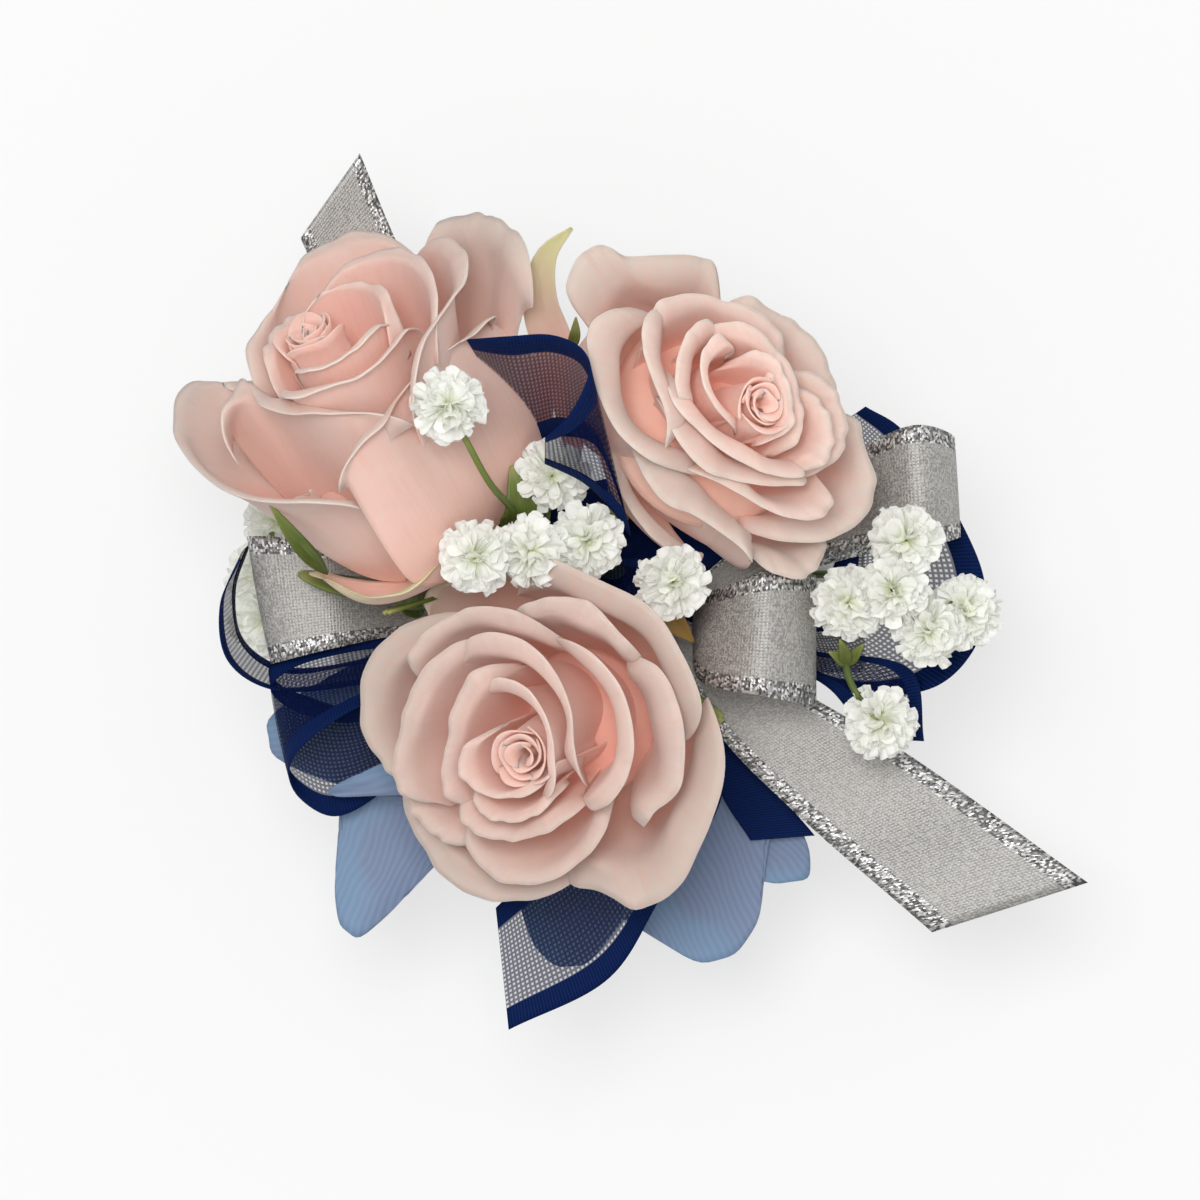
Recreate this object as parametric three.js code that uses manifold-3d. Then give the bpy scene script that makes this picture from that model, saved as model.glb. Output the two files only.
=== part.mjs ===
// Wrist corsage: three blush roses with baby's breath, silver and navy ribbon and blue silk petals.
// Their taped stems are clamped to an elastic wristlet. Millimetres, +Z up, standing on the band.
import * as THREE from 'three';
import { mergeVertices } from 'three/addons/utils/BufferGeometryUtils.js';
import Module from 'manifold-3d';

const wasm = await Module();
wasm.setup();

// The spray is laid out on the photograph, which looks straight down on it
const MM_PER_PIXEL = 0.128;
const PHOTO_CENTRE_X = 600;
const PHOTO_CENTRE_Y = 580;

// Clearance between pieces that touch
const CLEARANCE = 0.3;

// Elastic wristlet
const STRAP_WIDTH = 24;
const STRAP_THICK = 1.6;
const WRIST_WIDTH = 66;
const WRIST_HEIGHT = 26;
const STRAP_END_STEPS = 8;

// Clamp plate and the taped stems that its prongs hold
const PLATE_THICK = 1;
const PLATE_LENGTH = 24;
const PRONG_WIDTH = 5;
const PRONG_OPENING_DEG = 100;
const WRAP_RADIUS = 4;
const WRAP_LENGTH = 38;
const WRAP_SIDES = 16;

// Wire knot that gathers the ribbons
const KNOT_RADIUS = 4;
const KNOT_HEIGHT = 13;
const KNOT_WAIST_SHARE = 0.75;
const KNOT_END_SHARE = 0.8;
const KNOT_SIDES = 12;

// Roses
const PETAL_ROOT_THICK = 0.35;
const PETAL_LIP_THICK = 0.7;
const PETAL_ROOT_RADIUS = 3;
const PETAL_ROOT_STEP = 0.5;
const PETAL_ROOT_DROP = 0.35;
const PETAL_SEAT = 0.55;
const BELLY_AT = 0.55;
const BELLY_POWER = 0.85;
const HEART_SHARE = 0.93;
const HEART_TAPER = 0.25;
const HEART_DIMPLE_DEPTH = 2;
const HEART_DIMPLE_SHARE = 0.55;
const LATHE_SIDES = 14;
const PETAL_CORNER = 0.22;
const STEM_RADIUS = 1.5;
const CALYX_DEPTH = 6;
const CALYX_WAIST_DEPTH = 4.5;
const CALYX_WAIST_SHARE = 0.92;
const CALYX_NECK_RADIUS = 2.2;
const CALYX_NECK_LENGTH = 0.9;
const STEM_SOCKET_DEPTH = 1.6;
const CALYX_LEVELS_OUT = 1.6;
const SEPALS = 5;
const SEPAL_HALF_DEG = 17;
const SEPAL_ROOT = -0.03;
const SEPAL_REACH = 0.4;
const SEPAL_EVENNESS = 0.6;
const SEPAL_TIP_SHARE = 0.12;

// Ribbons, silk petals and baby's breath
const RIBBON_THICK = 0.5;
const SILK_THICK = 0.5;
const SILK_ROOT_PHASE = 0.12;
const SILK_TIP_PHASE = 0.8;
const SILK_LEAST_SHARE = 0.16;
const SILK_TIP_ROUND = 0.16;
const FLORET_RADIUS = 4.7;
const FLORET_FLATTEN = 0.82;
const SPRIG_STEM_RADIUS = 0.55;

// Heights that follow from the sizes above
const STRAP_TOP = WRIST_HEIGHT + 2 * STRAP_THICK;
const PLATE_BOTTOM = STRAP_TOP + CLEARANCE;
const WRAP_Z = PLATE_BOTTOM + PLATE_THICK + CLEARANCE + WRAP_RADIUS;
const SPRAY_Z = WRAP_Z + WRAP_RADIUS;

// A point of the spray: photograph pixels across and down, millimetres up from the taped stems
function at(x, y, height) {
  const across = (x - PHOTO_CENTRE_X) * MM_PER_PIXEL;
  const along = (PHOTO_CENTRE_Y - y) * MM_PER_PIXEL;
  return new THREE.Vector3(across, along, SPRAY_Z + height);
}

const materials = {
  roseHeart: { color: 0xf2b3a0, roughness: 0.6, metalness: 0 },
  rosePetal: { color: 0xefc6ba, roughness: 0.6, metalness: 0 },
  leaf: { color: 0x6f8a4a, roughness: 0.6, metalness: 0 },
  silver: { color: 0xb0aeab, roughness: 0.4, metalness: 0.8 },
  navy: { color: 0x14215c, roughness: 0.5, metalness: 0 },
  silk: { color: 0x86a0cf, roughness: 0.7, metalness: 0 },
  floret: { color: 0xeef0ea, roughness: 0.8, metalness: 0 },
  tape: { color: 0x5d7a45, roughness: 0.7, metalness: 0 },
  elastic: { color: 0xf0efec, roughness: 0.8, metalness: 0 },
  wire: { color: 0xc9c9c9, roughness: 0.35, metalness: 1 },
};

const corsage = new THREE.Group();

function add(name, geometry, finish) {
  const mesh = new THREE.Mesh(geometry, new THREE.MeshStandardMaterial(materials[finish]));
  mesh.name = name;
  corsage.add(mesh);
}

// Solids from closed geometry, for joins and cuts

function weld(geometry) {
  const bare = geometry.clone();
  bare.deleteAttribute('normal');
  bare.deleteAttribute('uv');
  return mergeVertices(bare, 1e-4);
}

function solid(geometry) {
  const welded = weld(geometry);
  const vertProperties = new Float32Array(welded.attributes.position.array);
  const triVerts = new Uint32Array(welded.index.array);
  return new wasm.Manifold(new wasm.Mesh({ numProp: 3, vertProperties, triVerts }));
}

function geometryOf(body) {
  const mesh = body.getMesh();
  const geometry = new THREE.BufferGeometry();
  geometry.setAttribute('position', new THREE.BufferAttribute(mesh.vertProperties.slice(), 3));
  geometry.setIndex(new THREE.BufferAttribute(mesh.triVerts.slice(), 1));
  geometry.computeVertexNormals();
  return geometry;
}

function join(geometries) {
  let body = solid(geometries[0]);
  for (const geometry of geometries.slice(1)) {
    body = body.add(solid(geometry));
  }
  return geometryOf(body);
}

// Round bar along a smooth curve through the given points
function bar(points, radius, sides, steps) {
  const section = new THREE.Shape();
  section.absarc(0, 0, radius, 0, 2 * Math.PI, false);
  const path = new THREE.CatmullRomCurve3(points);
  return new THREE.ExtrudeGeometry(section, { steps, extrudePath: path, curveSegments: sides / 2 });
}

// Closed sheet: a surface of s across and t along, both from 0 to 1, thickened to both sides
function sheet(surface, across, along, thickness) {
  const corners = [];
  const columns = across + 1;
  const rows = along + 1;
  const reach = 1e-3;
  for (const side of [1, -1]) {
    for (let j = 0; j < rows; j += 1) {
      for (let i = 0; i < columns; i += 1) {
        const s = i / across;
        const t = j / along;
        const alongS = surface(Math.min(1, s + reach), t).sub(surface(Math.max(0, s - reach), t));
        const alongT = surface(s, Math.min(1, t + reach)).sub(surface(s, Math.max(0, t - reach)));
        const out = alongS.cross(alongT).normalize();
        corners.push(surface(s, t).addScaledVector(out, 0.5 * side * thickness(t)));
      }
    }
  }
  const under = columns * rows;
  const index = [];
  const quad = (a, b, c, d) => index.push(a, b, c, a, c, d);
  for (let j = 0; j < along; j += 1) {
    for (let i = 0; i < across; i += 1) {
      const a = j * columns + i;
      quad(a, a + 1, a + 1 + columns, a + columns);
      quad(under + a, under + a + columns, under + a + 1 + columns, under + a + 1);
    }
  }
  for (let i = 0; i < across; i += 1) {
    const last = along * columns + i;
    quad(i + 1, i, under + i, under + i + 1);
    quad(last, last + 1, under + last + 1, under + last);
  }
  for (let j = 0; j < along; j += 1) {
    const left = j * columns;
    const right = left + across;
    quad(left, left + columns, under + left + columns, under + left);
    quad(right + columns, right, under + right, under + right + columns);
  }
  const geometry = new THREE.BufferGeometry();
  geometry.setAttribute('position', new THREE.Float32BufferAttribute(corners.flatMap((p) => p.toArray()), 3));
  geometry.setIndex(index);
  geometry.computeVertexNormals();
  return geometry;
}

// Elastic band: flat runs on top and below, joined by round ends that stretch

function strapRun(bottom, length) {
  const geometry = new THREE.BoxGeometry(length, STRAP_WIDTH, STRAP_THICK);
  return geometry.translate(0, 0, bottom + STRAP_THICK / 2);
}

function strapEnd(side) {
  const inner = WRIST_HEIGHT / 2;
  const outer = inner + STRAP_THICK;
  const outline = new THREE.Shape();
  outline.absarc(0, 0, outer, -Math.PI / 2, Math.PI / 2, false);
  outline.absarc(0, 0, inner, Math.PI / 2, -Math.PI / 2, true);
  const geometry = new THREE.ExtrudeGeometry(outline, {
    depth: STRAP_WIDTH, bevelEnabled: false, curveSegments: STRAP_END_STEPS,
  });
  geometry.translate(0, 0, -STRAP_WIDTH / 2);
  geometry.rotateX(Math.PI / 2);
  if (side < 0) {
    geometry.rotateZ(Math.PI);
  }
  const flatHalf = WRIST_WIDTH / 2 - inner;
  return geometry.translate(side * flatHalf, 0, outer);
}

const STRAP_RUN = WRIST_WIDTH - WRIST_HEIGHT - 2 * CLEARANCE;
add('band_top', strapRun(STRAP_THICK + WRIST_HEIGHT, STRAP_RUN), 'elastic');
add('band_lower', strapRun(0, STRAP_RUN), 'elastic');
add('band_left', strapEnd(-1), 'elastic');
add('band_right', strapEnd(1), 'elastic');

// Clamp plate with two pairs of prongs bent round the taped stems

function clampPlate() {
  const plate = new THREE.BoxGeometry(PLATE_LENGTH, STRAP_WIDTH, PLATE_THICK);
  plate.translate(0, 0, PLATE_BOTTOM + PLATE_THICK / 2);
  const bore = WRAP_RADIUS + CLEARANCE;
  const open = THREE.MathUtils.degToRad(PRONG_OPENING_DEG) / 2;
  const outline = new THREE.Shape();
  outline.absarc(0, 0, bore + PLATE_THICK, Math.PI / 2 + open, 2.5 * Math.PI - open, false);
  outline.absarc(0, 0, bore, 2.5 * Math.PI - open, Math.PI / 2 + open, true);
  const pieces = [plate];
  for (const side of [-1, 1]) {
    const prong = new THREE.ExtrudeGeometry(outline, {
      depth: PRONG_WIDTH, bevelEnabled: false, curveSegments: WRAP_SIDES / 2,
    });
    prong.rotateX(Math.PI / 2);
    prong.rotateZ(Math.PI / 2);
    const inset = side > 0 ? PLATE_LENGTH / 2 - PRONG_WIDTH : -PLATE_LENGTH / 2;
    prong.translate(inset, 0, WRAP_Z);
    pieces.push(prong);
  }
  return join(pieces);
}

add('clamp_plate', clampPlate(), 'wire');

// Roses: every petal lies on its own surface of revolution round the rose's axis

const roses = [
  {
    name: 'rose_left',
    base: at(428, 549, 15),
    axis: new THREE.Vector3(-0.42, 0.76, 0.5),
    across: new THREE.Vector3(0.875, 0.484, 0),
    height: 38,
    belly: [8.5, 18.2],
    lip: [0.98, 0.8],
    flare: 9,
    flarePower: 3,
    petalHalfDeg: 62,
    facing: [40, 178, 300, 80, -62, 186, 24],
    longSepal: 168,
    stemTo: [-15, 0],
  },
  {
    name: 'rose_right',
    base: at(674, 432, 10),
    axis: new THREE.Vector3(0.38, 0.12, 0.917),
    across: new THREE.Vector3(1, 0, -0.4),
    height: 32,
    belly: [7.5, 18],
    lip: [0.98, 0.58],
    flare: 4.6,
    flarePower: 2,
    petalHalfDeg: 68,
    facing: [20, 157, 295, 72, 212, 328, 104],
    longSepal: 300,
    stemTo: [4, 2],
  },
  {
    name: 'rose_front',
    base: at(607, 711, 13),
    axis: new THREE.Vector3(-0.36, -0.19, 0.913),
    across: new THREE.Vector3(1, 0, 0.39),
    height: 31,
    belly: [8, 20],
    lip: [0.98, 0.58],
    flare: 5,
    flarePower: 2,
    petalHalfDeg: 68,
    facing: [50, 187, 325, 100, 22, 264, 146],
    longSepal: 290,
    stemTo: [-2, -3],
  },
];

const PETALS = roses[0].facing.length;

// Square the rose's own axes to each other
for (const rose of roses) {
  rose.axis.normalize();
  rose.away = new THREE.Vector3().crossVectors(rose.axis, rose.across).normalize();
  rose.across.crossVectors(rose.away, rose.axis);
}

// Radius and height at share x from root to lip of the surface that a petal level lies on
function petalProfile(rose, level, x) {
  const share = level / PETALS;
  const rootRadius = PETAL_ROOT_RADIUS + PETAL_ROOT_STEP * level;
  const rootHeight = -PETAL_ROOT_DROP * level;
  const bellyRadius = THREE.MathUtils.lerp(rose.belly[0], rose.belly[1], share ** BELLY_POWER);
  const lipHeight = rose.height * THREE.MathUtils.lerp(rose.lip[0], rose.lip[1], share);
  const swell = Math.sin((Math.PI / 2) * Math.min(1, x / BELLY_AT));
  const curl = rose.flare * share ** rose.flarePower * x ** 4;
  return {
    radius: rootRadius + (bellyRadius - rootRadius) * swell + curl,
    height: THREE.MathUtils.lerp(rootHeight, lipHeight, x),
  };
}

function onRose(rose, radius, angle, height) {
  return rose.base.clone()
    .addScaledVector(rose.axis, height)
    .addScaledVector(rose.across, radius * Math.cos(angle))
    .addScaledVector(rose.away, radius * Math.sin(angle));
}

function petal(rose, level) {
  const facing = THREE.MathUtils.degToRad(rose.facing[level - 1]);
  const half = THREE.MathUtils.degToRad(rose.petalHalfDeg);
  const surface = (s, t) => {
    const side = 2 * s - 1;
    const spread = 0.5 + 0.5 * Math.sin((Math.PI / 2) * Math.min(1, t / BELLY_AT));
    const x = t * (1 - PETAL_CORNER * Math.abs(side) ** 3);
    const { radius, height } = petalProfile(rose, level, x);
    return onRose(rose, radius, facing + half * side * spread, height);
  };
  const thickness = (t) => THREE.MathUtils.lerp(PETAL_ROOT_THICK, PETAL_LIP_THICK, t);
  return sheet(surface, 8, 6, thickness);
}

// Turn a lathe's own Y axis to the rose's axis
function standOnRose(rose, lathe) {
  const place = new THREE.Matrix4().makeBasis(rose.across, rose.axis, rose.away.clone().negate());
  return lathe.applyMatrix4(place).translate(rose.base.x, rose.base.y, rose.base.z);
}

// The rolled middle: a bud inside the first petal, with a dimple where the roll opens
function heart(rose) {
  const bottom = CLEARANCE - PETAL_SEAT;
  const profile = [new THREE.Vector2(0, bottom)];
  const steps = 6;
  for (let i = 0; i <= steps; i += 1) {
    const x = i / steps;
    const { radius, height } = petalProfile(rose, 0, x);
    const tapered = radius * (1 - HEART_TAPER * x ** 3) - CLEARANCE;
    profile.push(new THREE.Vector2(tapered, bottom + height * HEART_SHARE));
  }
  const lip = profile[profile.length - 1];
  profile.push(new THREE.Vector2(lip.x * HEART_DIMPLE_SHARE, lip.y));
  profile.push(new THREE.Vector2(0, lip.y - HEART_DIMPLE_DEPTH));
  return standOnRose(rose, new THREE.LatheGeometry(profile, LATHE_SIDES));
}

// Sepals lie on the next surface outside the last petal and run to a point; one is the longest
function sepal(rose, number) {
  const turn = (2 * Math.PI * number) / SEPALS;
  const facing = THREE.MathUtils.degToRad(rose.longSepal) + turn;
  const half = THREE.MathUtils.degToRad(SEPAL_HALF_DEG);
  const reach = SEPAL_REACH * THREE.MathUtils.lerp(Math.cos(turn), 1, SEPAL_EVENNESS);
  const surface = (s, t) => {
    const x = THREE.MathUtils.lerp(SEPAL_ROOT, reach, t);
    const { radius, height } = petalProfile(rose, PETALS + CALYX_LEVELS_OUT, x);
    const width = half * THREE.MathUtils.lerp(Math.cos((Math.PI / 2) * t), 1, SEPAL_TIP_SHARE);
    return onRose(rose, radius, facing + width * (2 * s - 1), height);
  };
  return sheet(surface, 2, 4, () => PETAL_LIP_THICK);
}

// Calyx cup, sepals and stem grow as one piece
function calyx(rose) {
  const level = PETALS + CALYX_LEVELS_OUT;
  const rim = petalProfile(rose, level, 0);
  const profile = [
    new THREE.Vector2(0, -PETAL_SEAT),
    new THREE.Vector2(PETAL_ROOT_RADIUS, -PETAL_SEAT),
    new THREE.Vector2(rim.radius, rim.height - PETAL_SEAT),
    new THREE.Vector2(rim.radius * CALYX_WAIST_SHARE, -CALYX_WAIST_DEPTH),
    new THREE.Vector2(CALYX_NECK_RADIUS, -CALYX_DEPTH),
    new THREE.Vector2(0, -CALYX_DEPTH),
  ];
  const pieces = [standOnRose(rose, new THREE.LatheGeometry(profile.reverse(), LATHE_SIDES))];
  for (let i = 0; i < SEPALS; i += 1) {
    pieces.push(sepal(rose, i));
  }
  pieces.push(bar(stemPath(rose), STEM_RADIUS, 8, 6));
  return join(pieces);
}

// From inside the cup down to the middle of the taped stems
function stemPath(rose) {
  const top = rose.base.clone().addScaledVector(rose.axis, -CALYX_WAIST_DEPTH);
  const below = rose.base.clone().addScaledVector(rose.axis, -CALYX_DEPTH - CALYX_NECK_LENGTH);
  const end = new THREE.Vector3(rose.stemTo[0], rose.stemTo[1], SPRAY_Z - STEM_SOCKET_DEPTH);
  return [top, below, end];
}

for (const rose of roses) {
  add(`${rose.name}_stem`, calyx(rose), 'leaf');
  add(`${rose.name}_heart`, heart(rose), 'roseHeart');
  for (let level = 1; level <= PETALS; level += 1) {
    add(`${rose.name}_petal_${level}`, petal(rose, level), 'rosePetal');
  }
}

// Floral tape round the gathered stems, with a socket where each rose stem goes in
function stemWrap() {
  const rod = new THREE.CylinderGeometry(WRAP_RADIUS, WRAP_RADIUS, WRAP_LENGTH, WRAP_SIDES);
  rod.rotateZ(Math.PI / 2).translate(0, 0, WRAP_Z);
  let body = solid(rod);
  for (const rose of roses) {
    body = body.subtract(solid(bar(stemPath(rose), STEM_RADIUS + CLEARANCE, 8, 6)));
  }
  return geometryOf(body);
}

add('stem_wrap', stemWrap(), 'tape');

// Where a sprig's stem comes out of either end of the tape
function wrapEnd(side) {
  return new THREE.Vector3(side * (WRAP_LENGTH / 2 + CLEARANCE), 0, WRAP_Z);
}

// Wire knot that gathers the ribbons beside the stems
const KNOT_CENTRE = at(652, 608, CLEARANCE);
const KNOT_TOP = CLEARANCE + KNOT_HEIGHT;

function bowKnot() {
  const profile = [
    new THREE.Vector2(0, 0),
    new THREE.Vector2(KNOT_RADIUS * KNOT_END_SHARE, 0),
    new THREE.Vector2(KNOT_RADIUS, KNOT_HEIGHT / 6),
    new THREE.Vector2(KNOT_RADIUS * KNOT_WAIST_SHARE, KNOT_HEIGHT / 2),
    new THREE.Vector2(KNOT_RADIUS, (5 * KNOT_HEIGHT) / 6),
    new THREE.Vector2(KNOT_RADIUS * KNOT_END_SHARE, KNOT_HEIGHT),
    new THREE.Vector2(0, KNOT_HEIGHT),
  ];
  const knot = new THREE.LatheGeometry(profile, KNOT_SIDES);
  return knot.rotateX(Math.PI / 2).translate(KNOT_CENTRE.x, KNOT_CENTRE.y, KNOT_CENTRE.z);
}

// A ribbon's root corner beside the knot, by direction and height
function besideKnot(degrees, height) {
  const angle = THREE.MathUtils.degToRad(degrees);
  const radius = KNOT_RADIUS + CLEARANCE;
  const x = KNOT_CENTRE.x + radius * Math.cos(angle);
  const y = KNOT_CENTRE.y + radius * Math.sin(angle);
  return new THREE.Vector3(x, y, SPRAY_Z + height);
}

add('bow_knot', bowKnot(), 'wire');

// Ribbons: each is a list of rungs from one edge to the other

function ribbon(rungs, stepsPerRung) {
  const edgeA = new THREE.CatmullRomCurve3(rungs.map((rung) => rung[0]));
  const edgeB = new THREE.CatmullRomCurve3(rungs.map((rung) => rung[1]));
  const surface = (s, t) => {
    const a = edgeA.getPoint(t);
    return a.lerp(edgeB.getPoint(t), s);
  };
  return sheet(surface, 2, stepsPerRung * (rungs.length - 1), () => RIBBON_THICK);
}

const silverRibbons = {
  silver_tail_top: [
    [at(610, 566, 0.6), at(596, 586, 0.6)],
    [at(500, 440, 1), at(440, 482, 1)],
    [at(400, 250, 1), at(330, 305, 1)],
    [at(358, 150, 3), at(298, 235, 2)],
  ],
  silver_loop_left: [
    [besideKnot(195, 5), besideKnot(222, 5)],
    [at(430, 604, 4), at(430, 638, 4)],
    [at(310, 545, 9), at(316, 646, 9)],
    [at(256, 535, 6), at(276, 648, 6)],
    [at(310, 550, 2), at(316, 640, 2)],
    [at(430, 606, 2), at(430, 636, 2)],
    [besideKnot(197, 3), besideKnot(222, 3)],
  ],
  silver_loop_centre: [
    [at(698, 600, 10), at(694, 636, 10)],
    [at(716, 590, 16), at(700, 680, 15)],
    [at(770, 573, 20), at(762, 696, 19)],
    [at(816, 576, 13), at(816, 704, 13)],
    [at(780, 590, 7.5), at(780, 690, 8)],
    [at(698, 608, 7), at(694, 646, 7)],
  ],
  silver_loop_right: [
    [besideKnot(27, 3), besideKnot(0, 3)],
    [at(850, 470, 6), at(850, 560, 5)],
    [at(925, 437, 10), at(930, 555, 9)],
    [at(950, 440, 6), at(950, 556, 5)],
    [at(900, 460, 2), at(900, 550, 2)],
    [at(760, 560, 2), at(770, 580, 2)],
  ],
  silver_tail_long: [
    [besideKnot(-18, 3.5), besideKnot(-67, 3.5)],
    [at(800, 690, 3), at(720, 735, 3)],
    [at(905, 752, 3), at(790, 808, 3)],
    [at(1092, 885, 1), at(935, 935, 1)],
  ],
};

const navyRibbons = {
  navy_loop_upper: [
    [at(470, 344, 41), at(520, 420, 37)],
    [at(535, 340, 42), at(570, 470, 32)],
    [at(582, 354, 42), at(622, 520, 25)],
    [at(572, 392, 45), at(598, 498, 33)],
    [at(546, 436, 46), at(548, 452, 35)],
  ],
  navy_loop_far_left: [
    [at(238, 560, 10), at(246, 545, 1)],
    [at(219, 605, 11), at(232, 590, 1)],
    [at(226, 660, 10), at(240, 640, 1)],
    [at(272, 690, 8), at(284, 668, 0)],
    [at(430, 672, 1), at(430, 646, 0)],
    [at(566, 650, 1.6), at(566, 632, 1.4)],
  ],
  navy_loop_left_low: [
    [at(540, 655, 3.4), at(540, 642, 3.2)],
    [at(470, 692, 4), at(470, 662, 4)],
    [at(361, 709, 12), at(345, 664, 12)],
    [at(281, 757, 12), at(272, 668, 13)],
    [at(283, 790, 7), at(264, 700, 8)],
    [at(323, 818, 3), at(320, 712, 4)],
    [at(378, 794, 2.5), at(380, 712, 3)],
    [at(470, 694, 2), at(470, 668, 2)],
    [at(540, 657, 2.5), at(540, 642, 2.3)],
  ],
  navy_tail_bottom: [
    [at(640, 624, -0.3), at(664, 628, -0.3)],
    [at(658, 690, 0.5), at(692, 696, 0.5)],
    [at(668, 770, 3), at(724, 790, 3)],
    [at(604, 858, 6), at(657, 908, 5)],
    [at(555, 890, 6), at(602, 977, 5)],
    [at(493, 925, 5), at(508, 1033, 4)],
  ],
  navy_tail_low_right: [
    [at(680, 600, -0.3), at(676, 616, -0.3)],
    [at(726, 690, -1), at(704, 706, -1)],
    [at(770, 780, -2), at(720, 790, -2)],
    [at(817, 838, -2.6), at(752, 843, -2.6)],
  ],
  navy_loop_right: [
    [at(868, 405, 1), at(812, 440, -1)],
    [at(905, 428, -1), at(850, 480, -2)],
    [at(962, 520, -1), at(905, 550, -3)],
    [at(990, 590, 4), at(955, 590, -5)],
    [at(976, 650, 6), at(945, 630, -5)],
    [at(925, 690, 4), at(915, 640, -5)],
    [at(830, 690, 0), at(830, 640, -2)],
    [at(735, 622, -0.2), at(735, 596, 0.05)],
  ],
  navy_tail_right: [
    [at(818, 652, -0.3), at(808, 674, 0.7)],
    [at(900, 676, 7), at(866, 702, 6)],
    [at(930, 738, 6), at(892, 726, 5)],
  ],
  navy_bow_middle: [
    [at(598, 552, KNOT_TOP - 4.3), at(604, 596, KNOT_TOP - 4.3)],
    [at(612, 556, KNOT_TOP - 0.3), at(616, 604, KNOT_TOP - 0.3)],
    [at(650, 560, KNOT_TOP + 1.2), at(652, 612, KNOT_TOP + 1.2)],
    [at(682, 566, KNOT_TOP + 0.2), at(684, 616, KNOT_TOP + 0.2)],
    [at(692, 566, KNOT_TOP - 3.8), at(692, 594, KNOT_TOP - 3.8)],
  ],
};

for (const [name, rungs] of Object.entries(silverRibbons)) {
  add(name, ribbon(rungs, 3), 'silver');
}
for (const [name, rungs] of Object.entries(navyRibbons)) {
  add(name, ribbon(rungs, 3), 'navy');
}

// Blue silk petals: from a root under the front rose out to a rounded tip

function silkPetal({ root, tip, width, arch }) {
  const outwards = tip.clone().sub(root);
  const sideways = new THREE.Vector3(0, 0, 1).cross(outwards).normalize();
  const surface = (s, t) => {
    const swell = Math.sin(Math.PI * THREE.MathUtils.lerp(SILK_ROOT_PHASE, SILK_TIP_PHASE, t));
    const half = width * THREE.MathUtils.lerp(swell, 1, SILK_LEAST_SHARE);
    const point = root.clone().addScaledVector(outwards, t);
    point.addScaledVector(sideways, half * (s - 0.5));
    const rounded = outwards.length() * SILK_TIP_ROUND * t * (2 * s - 1) ** 2;
    point.addScaledVector(outwards.clone().normalize(), -rounded);
    point.z += arch * Math.sin(Math.PI * t);
    return point;
  };
  return sheet(surface, 4, 6, () => SILK_THICK);
}

const silkPetals = {
  silk_petal_left_upper: { root: at(618, 706, -0.6), tip: at(262, 740, -0.6), width: 13, arch: 0.4 },
  silk_petal_left: { root: at(606, 690, -1.4), tip: at(352, 936, -1.4), width: 19, arch: 0.4 },
  silk_petal_bottom: { root: at(606, 690, -2.2), tip: at(492, 930, -2.2), width: 11, arch: 0.4 },
  silk_petal_right: { root: at(606, 690, -3), tip: at(716, 975, -4), width: 24, arch: 0.4 },
  silk_petal_right_upper: { root: at(602, 700, -3.8), tip: at(806, 880, -4.8), width: 20, arch: 0.4 },
};

for (const [name, petalShape] of Object.entries(silkPetals)) {
  add(name, silkPetal(petalShape), 'silk');
}

// Baby's breath: a stem that forks to its florets, grown as one piece

function floret(centre) {
  const ball = new THREE.IcosahedronGeometry(FLORET_RADIUS, 1);
  ball.scale(1, 1, FLORET_FLATTEN);
  return ball.translate(centre.x, centre.y, centre.z);
}

function sprig({ stem, florets }) {
  const pieces = [bar(stem, SPRIG_STEM_RADIUS, 6, 6)];
  const fork = stem[stem.length - 1];
  for (const centre of florets) {
    pieces.push(floret(centre));
    if (centre.distanceTo(fork) > FLORET_RADIUS / 2) {
      pieces.push(bar([fork, centre], SPRIG_STEM_RADIUS, 6, 1));
    }
  }
  return join(pieces);
}

const sprigs = {
  sprig_upper: {
    stem: [at(545, 590, 0.4), at(530, 560, 14), at(512, 510, 30), at(488, 480, 40), at(450, 408, 46)],
    florets: [at(450, 408, 46)],
  },
  sprig_centre: {
    stem: [at(566, 592, 0.4), at(562, 580, 10), at(545, 540, 24)],
    florets: [at(556, 476, 27), at(478, 556, 40), at(530, 552, 38), at(585, 540, 34)],
  },
  sprig_middle: {
    stem: [at(656, 596, KNOT_TOP + 1.9), at(672, 582, 26)],
    florets: [at(672, 582, 26)],
  },
  sprig_left: {
    stem: [wrapEnd(-1), at(340, 590, -4), at(266, 598, -4.2)],
    florets: [at(257, 578, -4.2), at(262, 620, -4.2), at(276, 522, -4)],
  },
  sprig_right: {
    stem: [wrapEnd(1), at(828, 574, -3), at(852, 580, 8), at(870, 590, 14)],
    florets: [at(905, 540, 18), at(848, 603, 17), at(893, 590, 19), at(930, 630, 17), at(966, 612, 15)],
  },
  sprig_right_low: {
    stem: [at(842, 637, 14.9), at(852, 684, 14), at(880, 722, 14)],
    florets: [at(880, 722, 14)],
  },
};

for (const [name, growth] of Object.entries(sprigs)) {
  add(name, sprig(growth), 'floret');
}

export default corsage;
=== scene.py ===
# %% [markdown]
# # A wrist corsage
# Three blush roses, baby's breath, silver and navy ribbon and blue silk petals sit on an elastic wristlet.
# The measured model is loaded first. Every piece made below keeps its frame and moves with its bodies.

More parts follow.
